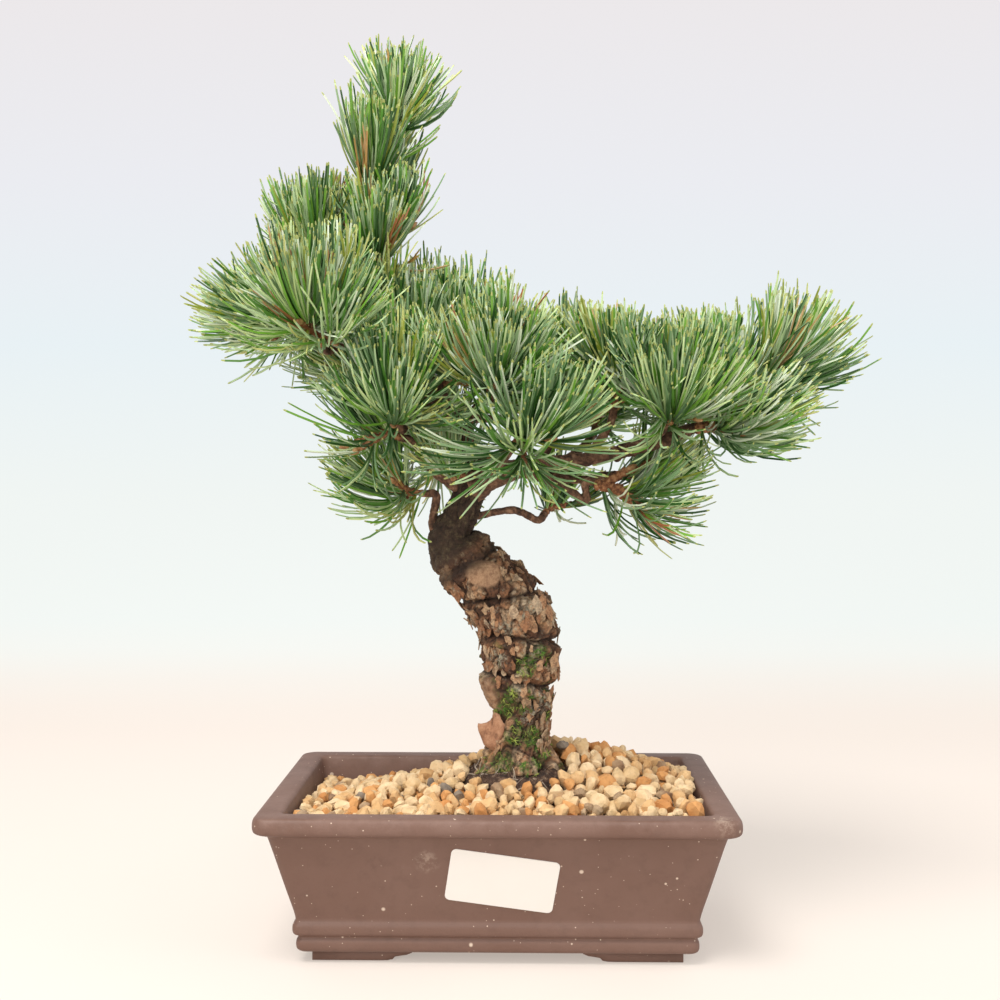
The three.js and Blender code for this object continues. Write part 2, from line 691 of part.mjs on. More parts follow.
// A bundle drawn out of a facet: the facet moved to the fork, the point between the three
// prongs, and their tips. It is shortened, or left out, where it would leave the mass's
// space or touch a limb.
function bundleOn(corners, one, siblings, mass, own, random) {
  const root = new THREE.Vector3();
  corners.forEach((p) => root.addScaledVector(p, 1 / 3));
  const run = bundleWay(root, one, random);
  const up = vector([0, 0, 1]).addScaledVector(run, -run.z);
  const full = mass.reach * lerp(...bundle.lengths, random());
  for (let reach = full; reach > full * bundle.shortest; reach -= full / 8) {
    const fork = root.clone().addScaledVector(run, reach * bundle.fork);
    fork.addScaledVector(up, reach * bundle.bow);
    const tips = corners.map((p, k) => {
      const edge = p.clone().lerp(corners[(k + 1) % 3], 0.5).sub(root);
      edge.addScaledVector(run, -edge.dot(run)).normalize();
      edge.multiplyScalar(reach * bundle.spread);
      return edge.addScaledVector(run, reach).add(root);
    });
    const lines = evenShares(5).slice(1).map((s) => root.clone().lerp(fork, s));
    tips.forEach((tip) => {
      lines.push(...evenShares(8).slice(1).map((s) => fork.clone().lerp(tip, s)));
    });
    if (!isNearest(lines, headOf(one), siblings.map(headOf), bundle.width / 2)) continue;
    if (!isFree(lines, own, bundle.width / 2)) continue;
    const around = corners.map((p) => fork.clone().add(p).sub(root));
    return [...around, fork.clone().addScaledVector(run, bundle.width / 2), ...tips];
  }
  return null;
}

// A shoot: a slim core of rings, turned half a step from one to the next, so that its head
// has a facet for each bundle of needles.
function shootSolid(one, siblings, mass, own, random) {
  const { from, way, length, bands } = one;
  const { sides } = shoot;
  const head = evenShares(bands).map((s) => length - headLengthOf(one) * (1 - s));
  const levels = [0, ...head];
  const [side, over] = squareTo(way);
  const points = [];
  levels.forEach((level, k) => {
    const isEnd = k === 0 || k === levels.length - 1;
    const radius = isEnd ? shoot.radius : shoot.headRadius;
    for (let i = 0; i < sides; i++) {
      const angle = (2 * Math.PI * (i + k / 2)) / sides;
      const p = from.clone().addScaledVector(way, level);
      p.addScaledVector(side, radius * Math.cos(angle));
      points.push(p.addScaledVector(over, -radius * Math.sin(angle)));
    }
  });
  const tip = points.push(from.clone().addScaledVector(way, length + shoot.radius)) - 1;
  const faces = [];
  const addFacet = (a, b, c) => {
    const corners = [a, b, c].map((i) => points[i]);
    const grown = bundleOn(corners, one, siblings, mass, own, random);
    if (!grown) {
      faces.push(a, b, c);
      return;
    }
    const first = points.push(...grown) - grown.length;
    const crotch = first + 3;
    [[a, b, 0, 1], [b, c, 1, 2], [c, a, 2, 0]].forEach(([low, next, i, j], k) => {
      const [forkLow, forkNext, prong] = [first + i, first + j, crotch + 1 + k];
      faces.push(low, next, forkNext, low, forkNext, forkLow);
      faces.push(forkLow, forkNext, prong, forkNext, crotch, prong, crotch, forkLow, prong);
    });
  };
  const last = head.length * sides;
  for (let i = 0; i < sides; i++) {
    const next = (i + 1) % sides;
    faces.push(i, next, i + sides, next, next + sides, i + sides);
    for (let start = sides; start < last; start += sides) {
      const [a, b] = [start + i, start + next];
      addFacet(a, b, a + sides);
      addFacet(b, b + sides, a + sides);
    }
    addFacet(last + i, last + next, tip);
    if (i > 1) faces.push(0, i, i - 1);
  }
  const geometry = new THREE.BufferGeometry().setFromPoints(points);
  geometry.setIndex(faces);
  return solidOf(geometry);
}

function makeMass(mass, own) {
  const random = seeded(7919 * (own + 1));
  const shoots = shootsOf(mass, own, random);
  const solids = shoots.map((one) => {
    const siblings = shoots.filter((other) => other !== one);
    return shootSolid(one, siblings, mass, own, random);
  });
  let whole = solids.reduce((joined, solid) => joined.add(solid));
  if (!mass.bends && mass.share < 1) whole = whole.subtract(limbSolid(mass.from, gap));
  return largest(whole);
}

// The tree in its pot
const bonsai = new THREE.Group();

function addPiece(name, solid, material) {
  const mesh = new THREE.Mesh(geometryOf(solid), material);
  mesh.name = name;
  bonsai.add(mesh);
}

addLimb("trunk", trunkLine.map(vector), trunkRadiusAt);
addBoughs();
Object.values(limbs).forEach((limb) => obstacles.push(...limb.obstacles));
masses.forEach((mass, own) => {
  const { foot, heart } = stemOf(mass);
  obstacles.push({ line: new THREE.Line3(foot, heart), radius: shoot.radius, mass: own });
});

addPiece("pot", makePot(), finish.pot);
addPiece("soil", makeSoil(), finish.soil);
addPiece("gravel", makeGravel(trunkSolid(gap)), finish.gravel);
bonsai.add(makeLabel());
addPiece("trunk", trunkSolid(0), finish.bark);
masses.filter((mass) => mass.bends).forEach((mass) => {
  addPiece("bough_" + mass.name, makeBough(mass), finish.twig);
});
masses.forEach((mass, own) => {
  addPiece("needles_" + mass.name, makeMass(mass, own), finish.needles);
});

// The origin goes under the middle of the whole, on the table.
const box = new THREE.Box3().setFromObject(bonsai, true);
const middle = box.getCenter(new THREE.Vector3());
bonsai.position.set(-middle.x, -middle.y, 0);

export default bonsai;
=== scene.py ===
import json
import math

import bpy
import numpy as np
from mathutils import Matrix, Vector, noise

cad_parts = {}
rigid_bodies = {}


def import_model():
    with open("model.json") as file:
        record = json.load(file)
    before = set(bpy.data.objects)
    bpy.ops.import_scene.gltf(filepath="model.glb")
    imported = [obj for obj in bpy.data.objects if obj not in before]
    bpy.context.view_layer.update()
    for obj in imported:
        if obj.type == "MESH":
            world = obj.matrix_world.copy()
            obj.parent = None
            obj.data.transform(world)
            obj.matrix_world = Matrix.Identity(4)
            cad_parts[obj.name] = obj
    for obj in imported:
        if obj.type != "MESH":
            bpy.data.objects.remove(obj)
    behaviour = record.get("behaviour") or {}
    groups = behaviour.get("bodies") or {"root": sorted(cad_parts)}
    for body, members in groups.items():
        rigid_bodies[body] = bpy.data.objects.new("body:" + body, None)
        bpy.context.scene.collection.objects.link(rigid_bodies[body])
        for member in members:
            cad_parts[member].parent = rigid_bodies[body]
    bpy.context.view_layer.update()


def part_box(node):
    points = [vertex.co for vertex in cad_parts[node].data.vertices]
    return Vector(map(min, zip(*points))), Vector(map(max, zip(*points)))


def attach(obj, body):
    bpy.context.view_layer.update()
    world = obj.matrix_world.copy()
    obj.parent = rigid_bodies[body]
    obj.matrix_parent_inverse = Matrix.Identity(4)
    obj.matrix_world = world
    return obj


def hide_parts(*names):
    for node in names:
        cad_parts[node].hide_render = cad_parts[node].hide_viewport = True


# The looks of a small white pine bonsai in its clay pot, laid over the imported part. Unless
# said otherwise, sizes are in millimetres and places are counted from the middle of the pot
# on the table. Both are turned into the frame's metres where a mesh is made.
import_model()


# Studio. A plain pale floor sweeps up behind the tree into a cool white backdrop. Broad
# soft lights hang above and beside a lens that looks level at the trunk's first bend.
MM = 0.001
pot_low, pot_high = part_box("pot")
pot_middle = Vector(((pot_low.x + pot_high.x) / 2, (pot_low.y + pot_high.y) / 2, 0))


def to_frame(points):
    """Millimetres from the pot's middle, as metres in the frame."""
    return np.asarray(points, float) * MM + np.array(pot_middle)


lens = {"place": (10.118, -529.886, 187.028), "length": 46.46, "sensor": 36, "dip": 0.0212, "turn": 0.0186}
camera = bpy.data.objects.new("camera", bpy.data.cameras.new("camera"))
camera.data.lens = lens["length"]
camera.data.sensor_width = lens["sensor"]
camera.location = to_frame(lens["place"])
camera.rotation_euler = (math.pi / 2 - lens["dip"], 0, lens["turn"])
bpy.context.scene.collection.objects.link(camera)
bpy.context.scene.camera = camera
bpy.context.scene.view_settings.view_transform = "Standard"


def add_node(owner, kind, inputs=(), **settings):
    """A node in a tree or a material, its inputs given as values or as sockets to link."""
    tree = getattr(owner, "node_tree", owner)
    node = tree.nodes.new(kind)
    for key, value in settings.items():
        setattr(node, key, value)
    for key, value in dict(inputs).items():
        if isinstance(value, bpy.types.NodeSocket):
            tree.links.new(value, node.inputs[key])
        else:
            node.inputs[key].default_value = value
    return node


def set_shader(material, name, value):
    """An input of a material's shader, given as a value or as a socket to link."""
    socket = material.node_tree.nodes["Principled BSDF"].inputs[name]
    if isinstance(value, bpy.types.NodeSocket):
        material.node_tree.links.new(value, socket)
    else:
        socket.default_value = value


def new_material(name, colour, roughness):
    """A plain material of one colour and roughness."""
    material = bpy.data.materials.new(name)
    material.use_nodes = True
    material.diffuse_color = (*colour, 1)
    set_shader(material, "Base Color", (*colour, 1))
    set_shader(material, "Roughness", roughness)
    return material


def place_on(material):
    """Where a point lies on its object, one node for each material."""
    found = material.node_tree.nodes.get("place")
    return (found or add_node(material, "ShaderNodeTexCoord", name="place")).outputs["Object"]


def colours_along(material, factor, stops):
    """A colour read off a ramp of (place, colour) stops."""
    ramp = add_node(material, "ShaderNodeValToRGB", {"Fac": factor})
    while len(ramp.color_ramp.elements) < len(stops):
        ramp.color_ramp.elements.new(0.5)
    for element, (place, colour) in zip(ramp.color_ramp.elements, stops):
        element.position = place
        element.color = (*colour, 1)
    return ramp.outputs["Color"]


def mesh_of(name, points, faces, materials, kinds=None, smooth=True):
    """An object of a mesh made from arrays: faces is a list of arrays of corner numbers."""
    mesh = bpy.data.meshes.new(name)
    corners = np.concatenate([np.asarray(group).ravel() for group in faces])
    sizes = np.concatenate([np.full(len(group), np.shape(group)[1]) for group in faces])
    mesh.vertices.add(len(points))
    mesh.vertices.foreach_set("co", np.asarray(points, np.float32).ravel())
    mesh.loops.add(len(corners))
    mesh.loops.foreach_set("vertex_index", corners.astype(np.int32))
    mesh.polygons.add(len(sizes))
    starts = np.concatenate([[0], np.cumsum(sizes)[:-1]])
    mesh.polygons.foreach_set("loop_start", starts.astype(np.int32))
    for material in materials:
        mesh.materials.append(material)
    if kinds is not None:
        mesh.polygons.foreach_set("material_index", np.asarray(kinds, np.int32))
    mesh.polygons.foreach_set("use_smooth", np.full(len(sizes), smooth))
    mesh.update(calc_edges=True)
    mesh.validate()
    made = bpy.data.objects.new(name, mesh)
    bpy.context.scene.collection.objects.link(made)
    return made


# The backdrop's sizes are in metres.
backdrop = {"front": -1.6, "back": 1.1, "half": 3.2, "bend": 0.7, "top": 3.4, "steps": 16}
sweep_line = [(backdrop["front"], 0.0), (backdrop["back"] - backdrop["bend"], 0.0)]
for step in range(1, backdrop["steps"] + 1):
    angle = math.pi / 2 * step / backdrop["steps"]
    sweep_line.append((
        backdrop["back"] - backdrop["bend"] * (1 - math.sin(angle)),
        backdrop["bend"] * (1 - math.cos(angle)),
    ))
sweep_line.append((backdrop["back"], backdrop["top"]))
sweep_points = [(x, y, z) for y, z in sweep_line for x in (-backdrop["half"], backdrop["half"])]
sweep_faces = [(2 * k, 2 * k + 1, 2 * k + 3, 2 * k + 2) for k in range(len(sweep_line) - 1)]
paper = new_material("backdrop_paper", (0.9, 0.88, 0.84), 0.9)
paper_height = add_node(paper, "ShaderNodeSeparateXYZ", {0: place_on(paper)}).outputs["Z"]
# What the paper returns of the lamps' light, and the painted light it glows with of its own,
# by height in metres: a dim painted glow on the floor that brightens to a cool white up the
# wall, where the paper's own colour is black.
lit_colour = colours_along(paper, paper_height, [
    (0.0, (0.45, 0.4, 0.36)), (0.05, (0.28, 0.285, 0.275)), (0.16, (0.0, 0.0, 0.0)),
])
painted_glow_colour = colours_along(paper, paper_height, [
    (0.0, (0.4, 0.365, 0.33)), (0.03, (0.48, 0.515, 0.5)), (0.16, (0.85, 0.89, 0.87)),
    (0.34, (0.79, 0.86, 0.89)), (0.55, (0.81, 0.82, 0.86)), (0.85, (0.82, 0.78, 0.79)),
])
set_shader(paper, "Base Color", lit_colour)
set_shader(paper, "Emission Color", painted_glow_colour)
set_shader(paper, "Emission Strength", 1)
sweep = mesh_of("backdrop", sweep_points, [sweep_faces], [paper])

world = bpy.data.worlds.new("studio")
bpy.context.scene.world = world
world.use_nodes = True
world.node_tree.nodes["Background"].inputs["Color"].default_value = (0.97, 0.98, 1, 1)
world.node_tree.nodes["Background"].inputs["Strength"].default_value = 0.55

# Each soft light: place in metres, size, strength in watts, and colour. They all face the
# middle of the trunk.
trunk_middle_place = Vector((0, 0, 0.15))
soft_lights = {
    "above": ((-0.3, -0.55, 1.2), 0.55, 15, (1, 0.98, 0.95)),
    "front": ((-0.45, -1.2, 0.6), 0.9, 8, (1, 0.985, 0.96)),
    "right": ((1.15, -0.35, 0.6), 0.9, 5, (0.97, 0.985, 1)),
}
for light_name, (place, size, watts, tint) in soft_lights.items():
    light = bpy.data.objects.new(light_name, bpy.data.lights.new(light_name, "AREA"))
    light.data.size = size
    light.data.energy = watts
    light.data.color = tint
    light.location = place
    light.rotation_euler = (trunk_middle_place - light.location).to_track_quat("-Z", "Y").to_euler()
    bpy.context.scene.collection.objects.link(light)


# Pot. Slip-cast stoneware, oblong with rounded corners, left unglazed: a rounded rim over a
# soft cove, walls that flare upwards, two beads round the foot and four cloud feet.
pot = {"length": 182.4, "depth": 118.4, "corner": 6, "corner_loss": 0.3, "corner_least": 2.5,
       "foot_height": 4, "foot_reach": (71, 40.2)}
# Inset from the rim's outer edge and height, from under the floor, up and over the rim and
# down the inner wall to the floor inside.
pot_profile = [
    (17.6, 4), (15.2, 4.8), (14.4, 6.2), (14.4, 8.8), (15.1, 9.9), (15.1, 10.8), (13.6, 11.5),
    (13.2, 12.7), (13.2, 15), (13.8, 16.1), (14.6, 17.2), (10.1, 33), (5.3, 50), (4.4, 51.8),
    (1, 52.6), (0, 53.8), (0, 57.3), (0.7, 58.8), (2.2, 59.3), (8.6, 59.3), (10, 58.7),
    (10.6, 57.2), (18, 8),
]
# The two bars of a foot: length, width, where it starts and whether it runs along the short
# side. Their side view is in shares of the length and of the foot's height.
foot_sides = ((39, 11, 0, False), (26, 10.5, 10.9, True))
foot_outline = [(0, 0), (0.66, 0), (0.74, 0.02), (0.79, 0.16), (0.815, 0.42), (0.86, 0.5),
                (0.93, 0.6), (0.98, 0.8), (1, 1), (1, 1.35), (0, 1.35)]
foot_rounding = 0.5
rim_wear = {"height": 57.5, "fade": 3, "inner_edge": 11}
clay_colours = {
    "body": (0.145, 0.073, 0.05),
    "pale": (0.23, 0.14, 0.11),
    "dark": (0.055, 0.027, 0.019),
    "speck": (0.68, 0.54, 0.42),
}


def softened(line, rounds):
    """A line with its corners cut, again and again, and its ends kept."""
    line = np.array(line, float)
    for _ in range(rounds):
        near, far = line[:-1] * 0.75 + line[1:] * 0.25, line[:-1] * 0.25 + line[1:] * 0.75
        line = np.vstack([line[:1], np.stack([near, far], 1).reshape(-1, line.shape[1]), line[-1:]])
    return line


def rounded_ring(half_x, half_y, corner, corner_steps=7, side_steps=(22, 14)):
    """Points round a rectangle with round corners, counter-clockwise, evenly along its sides."""
    ring = []
    for turn, (sx, sy) in enumerate([(1, 1), (-1, 1), (-1, -1), (1, -1)]):
        centre = np.array([sx * (half_x - corner), sy * (half_y - corner)])
        angles = math.pi / 2 * (turn + np.arange(corner_steps + 1) / corner_steps)
        arc = centre + corner * np.stack([np.cos(angles), np.sin(angles)], 1)
        ring.extend(arc)
        way = np.array([(-1, 0), (0, -1), (1, 0), (0, 1)][turn])
        run = 2 * ((half_x if turn % 2 == 0 else half_y) - corner)
        steps = side_steps[turn % 2]
        ring.extend(arc[-1] + way * run * np.arange(1, steps)[:, None] / steps)
    return np.array(ring)


def grid_faces(rows, around):
    """Quads between rings of points that run counter-clockwise and upwards."""
    k, i = np.meshgrid(np.arange(rows - 1), np.arange(around), indexing="ij")
    j = (i + 1) % around
    quads = np.stack([k * around + i, k * around + j, (k + 1) * around + j, (k + 1) * around + i], -1)
    return quads.reshape(-1, 4)


def fan(centre, ring, turned):
    """Triangles from one point to a ring."""
    following = np.roll(ring, -1)
    pair = (following, ring) if turned else (ring, following)
    return np.column_stack([np.full(len(ring), centre), *pair])


def capped_faces(rows, around, first=0):
    """Faces of rings that run upwards, closed below and above by the two points after them."""
    last = first + rows * around
    return [grid_faces(rows, around) + first, fan(last, first + np.arange(around), True),
            fan(last + 1, last - around + np.arange(around), False)]


def turned_over(faces):
    return [group[:, ::-1] for group in faces]


def pot_ring(inset, z):
    corner = max(pot["corner"] - inset * pot["corner_loss"], pot["corner_least"])
    flat = rounded_ring(pot["length"] / 2 - inset, pot["depth"] / 2 - inset, corner)
    return np.column_stack([flat, np.full(len(flat), z)])


def foot_bars(sx, sy):
    """The two bars of a foot, along the long and the short side, with curled cloud ends."""
    bars = []
    for length, width, begin, across in foot_sides:
        along, up = (np.array(foot_outline) * (length, pot["foot_height"])).T
        along = np.maximum(along, begin)
        points = []
        for depth, lift in (
            (0, foot_rounding), (foot_rounding, 0), (width - foot_rounding, 0), (width, foot_rounding),
        ):
            away = np.full(len(along), depth)
            flat = (away, along) if across else (along, away)
            points.append(np.column_stack([*flat, np.maximum(up, lift)]))
        points = np.vstack(points)
        points[:, :2] = (np.array(pot["foot_reach"]) - points[:, :2]) * (sx, sy)
        bars.append((points, len(along), across))
    return bars


profile = softened(pot_profile, 2)
pot_rings = [pot_ring(inset, z) for inset, z in profile]
ring_size = len(pot_rings[0])
pot_points = [*pot_rings, np.array([[0, 0, profile[0, 1]], [0, 0, profile[-1, 1]]])]
pot_count = len(profile) * ring_size + 2
pot_faces = capped_faces(len(profile), ring_size)
for sx, sy in ((1, 1), (-1, 1), (-1, -1), (1, -1)):
    for points, size, across in foot_bars(sx, sy):
        bar_faces = capped_faces(len(points) // size, size, pot_count)
        pot_faces += turned_over(bar_faces) if (sx * sy > 0) == across else bar_faces
        pot_points.append(np.vstack([points, points[:size].mean(0), points[-size:].mean(0)]))
        pot_count += len(pot_points[-1])
worn = np.exp(-((profile[:, 1] - rim_wear["height"]) / rim_wear["fade"]) ** 2)
worn *= profile[:, 0] < rim_wear["inner_edge"]
pot_wear = np.zeros(pot_count)
pot_wear[:len(profile) * ring_size] = np.repeat(worn, ring_size)

clay = new_material("unglazed_clay", clay_colours["body"], 0.62)


def noise_on(material, scale, detail=4, roughness=0.55):
    """The value of a noise over the object, with so many waves a metre."""
    made = add_node(material, "ShaderNodeTexNoise", {
        "Vector": place_on(material), "Scale": scale, "Detail": detail, "Roughness": roughness,
    })
    return made.outputs["Fac"]


def math_on(material, operation, first, second):
    return add_node(material, "ShaderNodeMath", {0: first, 1: second}, operation=operation).outputs["Value"]


def times(material, first, second):
    return math_on(material, "MULTIPLY", first, second)


def spread_between(material, value, low, high, to_low=0.0, to_high=1.0):
    """A value spread from one range over another, and held at its ends."""
    made = add_node(material, "ShaderNodeMapRange", {
        "Value": value, "From Min": low, "From Max": high, "To Min": to_low, "To Max": to_high,
    })
    return made.outputs["Result"]


def patchy(material, grain, low, high, to_low=0.0, to_high=1.0):
    """A noise, as its scale, detail and roughness, spread from one range over another."""
    return spread_between(material, noise_on(material, *grain), low, high, to_low, to_high)


def mixed(material, factor, first, second):
    """Two colours mixed by a factor."""
    node = add_node(material, "ShaderNodeMix", data_type="RGBA")
    for socket, value in zip((node.inputs[0], node.inputs[6], node.inputs[7]), (factor, first, second)):
        if isinstance(value, bpy.types.NodeSocket):
            node.id_data.links.new(value, socket)
        else:
            socket.default_value = (*value, 1) if isinstance(value, tuple) else value
    return node.outputs[2]


def layered(material, colour, layers):
    """A colour with others laid over it in turn, each as far as its factor says."""
    for factor, over in layers:
        colour = mixed(material, factor, colour, over)
    return colour


def bumped(material, grain, strength, depth):
    """A material's surface raised by a noise, by a depth in metres at full strength."""
    bump = add_node(material, "ShaderNodeBump", {
        "Height": noise_on(material, *grain), "Strength": strength, "Distance": depth,
    })
    set_shader(material, "Normal", bump.outputs["Normal"])


def near_spot(material, spot, reach):
    """1 at a place on the object and 0 from a reach away, in millimetres from the pot's middle."""
    away = add_node(material, "ShaderNodeVectorMath", {0: place_on(material), 1: tuple(to_frame(spot))},
                    operation="DISTANCE")
    return spread_between(material, away.outputs["Value"], 0, reach * MM, 1, 0)


def tone_of(material, name):
    """A value that the mesh carries at its points."""
    return add_node(material, "ShaderNodeAttribute", attribute_name=name).outputs["Fac"]


def add_tone(made, name, values):
    made.data.attributes.new(name, "FLOAT", "POINT").data.foreach_set("value", values.astype(np.float32))


cloudy = noise_on(clay, 28)
rubbed = times(clay, tone_of(clay, "wear"), patchy(clay, (90, 6, 0.7), 0.42, 0.62))
clay_layers = [
    (spread_between(clay, cloudy, 0.35, 0.7, 0, 0.35), clay_colours["pale"]),
    (patchy(clay, (170, 5, 0.7), 0.5, 0.8, 0, 0.25), clay_colours["dark"]),
    (times(clay, rubbed, 0.5), clay_colours["pale"]),
]
# Pale grains in the clay: how many cells to a metre, and the share of cells that have none.
for cells_a_metre, empty in ((620, 0.84), (420, 0.86), (230, 0.9), (120, 0.93)):
    cells = add_node(clay, "ShaderNodeTexVoronoi", {
        "Vector": place_on(clay), "Scale": cells_a_metre,
    })
    chosen = add_node(clay, "ShaderNodeSeparateColor", {0: cells.outputs["Color"]}).outputs[0]
    speck = times(clay, math_on(clay, "GREATER_THAN", chosen, empty),
                  spread_between(clay, cells.outputs["Distance"], 0.08, 0.13, 1, 0))
    clay_layers.append((times(clay, speck, 0.85), clay_colours["speck"]))
# Smudges on the walls and the rim: place, reach, tone and strength.
smudges = [((-45.5, -54.5, 40.5), 5.5, "dark", 0.75), ((-26, -54.8, 41), 6.5, "speck", 0.55),
           ((-35, -54, 38), 5, "pale", 0.5), ((84, -56, 57.5), 6, "speck", 0.5),
           ((-86, -56, 57), 5, "pale", 0.6)]
ragged = patchy(clay, (420, 6, 0.75), 0.45, 0.6)
for spot, reach, tone, strength in smudges:
    patch = times(clay, near_spot(clay, spot, reach), ragged)
    clay_layers.append((times(clay, patch, strength), clay_colours[tone]))
set_shader(clay, "Base Color", layered(clay, clay_colours["body"], clay_layers))
set_shader(clay, "Roughness", spread_between(clay, cloudy, 0.3, 0.7, 0.52, 0.7))
bumped(clay, (900, 4, 0.6), 0.35, 0.0004)

clay_pot = mesh_of("clay_pot", to_frame(np.vstack(pot_points)), pot_faces, [clay])
add_tone(clay_pot, "wear", pot_wear)
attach(clay_pot, "root")
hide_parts("pot")


# Label. A small blank price tag of white paper, stuck askew on the front wall.
tag = {"length": 41, "height": 22, "corner": 2, "tilt": 8.5, "at": (2, 34)}
# How far each of its layers stands off the wall, and how much it is drawn in at the edge.
tag_layers = ((0.05, 0), (0.25, 0), (0.32, 0.12))
# The straight wall behind it: the inset and height of its foot and of its head.
wall_foot, wall_head = (14.6, 17.2), (5.3, 50)
slope = math.atan2(wall_foot[0] - wall_head[0], wall_head[1] - wall_foot[1])
tag_inset = wall_foot[0] - (tag["at"][1] - wall_foot[1]) * math.tan(slope)
tag_outline = rounded_ring(tag["length"] / 2, tag["height"] / 2, tag["corner"], 8, (10, 6))
tag_turn = math.radians(-tag["tilt"])
tag_across = np.array([math.cos(tag_turn), math.sin(tag_turn)])
tag_up = np.array([-math.sin(tag_turn), math.cos(tag_turn)])
tag_flat = tag_outline[:, :1] * tag_across + tag_outline[:, 1:] * tag_up
tag_place = np.array([tag["at"][0], -pot["depth"] / 2 + tag_inset, tag["at"][1]])
wall_up = np.array([0, -math.sin(slope), math.cos(slope)])
wall_out = np.array([0, -math.cos(slope), -math.sin(slope)])
on_wall = tag_flat[:, :1] * (1, 0, 0) + tag_flat[:, 1:] * wall_up
tag_rings = [tag_place + wall_out * stand + on_wall * (1 - drawn_in / tag["height"])
             for stand, drawn_in in tag_layers]
tag_points = np.vstack([*tag_rings, tag_rings[0].mean(0), tag_rings[-1].mean(0)])
card = new_material("white_card", (0.92, 0.88, 0.83), 0.55)
card_clouds = patchy(card, (60, 4, 0.55), 0.3, 0.7, 0, 0.3)
set_shader(card, "Base Color", mixed(card, card_clouds, (0.8, 0.755, 0.7), (0.74, 0.695, 0.64)))
bumped(card, (2500, 2, 0.55), 0.15, 0.0001)
price_tag = mesh_of("blank_tag", to_frame(tag_points), capped_faces(len(tag_layers), len(tag_flat)),
                    [card], smooth=False)
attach(price_tag, "root")
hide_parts("label")


# Soil. Dark fibrous soil fills the pot and heaps up round the trunk's foot, where it shows
# between the gravel and the bark.
soil = {"top": 45, "bottom": 8.5, "taper": 0.93, "clear": 0.3, "lumps": 1.3,
        "mound": (8, 0), "mound_radius": 44, "mound_top_radius": 23, "mound_top": 64.5}
soil_shares = (1, 0.93, 0.8, 0.68, 0.6, 0.52, 0.45, 0.39, 0.34, 0.3, 0.26, 0.23, 0.2, 0.17, 0.14, 0.1)


def relief(points, size, detail=4, seed=0.0):
    """Rough noise, about -1 to 1, over points in millimetres, with waves of a size."""
    shifted = np.asarray(points) / size + seed
    return np.array([noise.fractal(Vector(p), 1.0, 2.1, detail) for p in shifted])


(inner_top, inner_height), (inner_floor, floor_height) = pot_profile[-2:]
wall_slope = (inner_floor - inner_top) / (inner_height - floor_height)


def wall_inset(z):
    return inner_top + (inner_height - z) * wall_slope


def rings_to_mound(inset, shares, side_steps):
    """Rings of points that lead from the pot's inner wall in towards the mound."""
    ring = rounded_ring(pot["length"] / 2 - inset, pot["depth"] / 2 - inset, 3, 3, side_steps)
    return [ring * share + np.array(soil["mound"]) * (1 - share) for share in shares]


def mottled(material, grain, stops):
    """A colour that a noise picks from stops."""
    return colours_along(material, noise_on(material, *grain), stops)


soil_spots = rings_to_mound(wall_inset(soil["top"]) + soil["clear"], soil_shares, (44, 30))
soil_flat = np.vstack([*soil_spots, [soil["mound"]]])
from_mound = np.hypot(*(soil_flat - soil["mound"]).T)
soil_rise = np.interp(from_mound, [soil["mound_top_radius"] - 3, soil["mound_radius"]], [1, 0])
soil_height = soil["top"] + (soil["mound_top"] - soil["top"]) * soil_rise ** 1.2
soil_points = np.column_stack([soil_flat, soil_height])
pressed_up = 2.4 * np.exp(-(((from_mound - 15) / 6) ** 2))
soil_points[:, 2] += soil["lumps"] * relief(soil_points, 3.4, 5, 3.1) - 0.6 + pressed_up
soil_rows, soil_around = len(soil_spots), len(soil_spots[0])
soil_bottom = soil_points[:soil_around].copy()
soil_bottom[:, :2] *= soil["taper"]
soil_bottom[:, 2] = soil["bottom"]
soil_points = np.vstack([soil_bottom, soil_points, [[0, 0, soil["bottom"]]]])
soil_last = len(soil_points) - 1
soil_faces = [
    grid_faces(soil_rows + 1, soil_around),
    fan(soil_last - 1, np.arange(soil_around) + soil_rows * soil_around, False),
    fan(soil_last, np.arange(soil_around), True),
]
earth = new_material("dark_soil", (0.03, 0.018, 0.012), 0.95)
set_shader(earth, "Base Color", mottled(earth, (380, 6, 0.7), [
    (0.35, (0.02, 0.011, 0.008)), (0.52, (0.08, 0.042, 0.026)), (0.62, (0.2, 0.12, 0.075)),
    (0.7, (0.45, 0.36, 0.26)),
]))
bumped(earth, (700, 6, 0.75), 0.9, 0.001)
ground = mesh_of("potting_soil", to_frame(soil_points), soil_faces, [earth])
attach(ground, "root")
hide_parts("soil")


# Gravel. A top dressing of loose pebbles of mixed stone, 4 to 9 mm, half of them cream, the
# rest buff, orange, brown and grey, heaped up to the soil round the trunk.
gravel = {
    "middle": 53, "tilt": (0.02, -0.075), "rise": 20.5, "peak": (22, 8), "spread": (55, 32),
    "clear": 2.6, "spacing": 4.6, "smallest": 1.9, "largest": 4.4, "layers": ((0.5, 11), (-2.6, 29)),
    "bare_front": 23, "bare_back": 19, "front_to": 4, "ragged": 5, "shapes": 9,
}
pebble = {"chips": 11, "chip_near": 0.5, "chip_range": 0.34, "swell": 1.12}
# Each kind of stone: its share of the pebbles, and its two colours.
stones = {
    "cream": (0.52, (0.58, 0.38, 0.18), (0.82, 0.62, 0.38)),
    "buff": (0.25, (0.56, 0.32, 0.13), (0.73, 0.48, 0.24)),
    "orange": (0.15, (0.5, 0.21, 0.06), (0.64, 0.33, 0.12)),
    "umber": (0.06, (0.26, 0.15, 0.08), (0.42, 0.29, 0.17)),
    "grey": (0.02, (0.13, 0.1, 0.075), (0.29, 0.235, 0.18)),
}


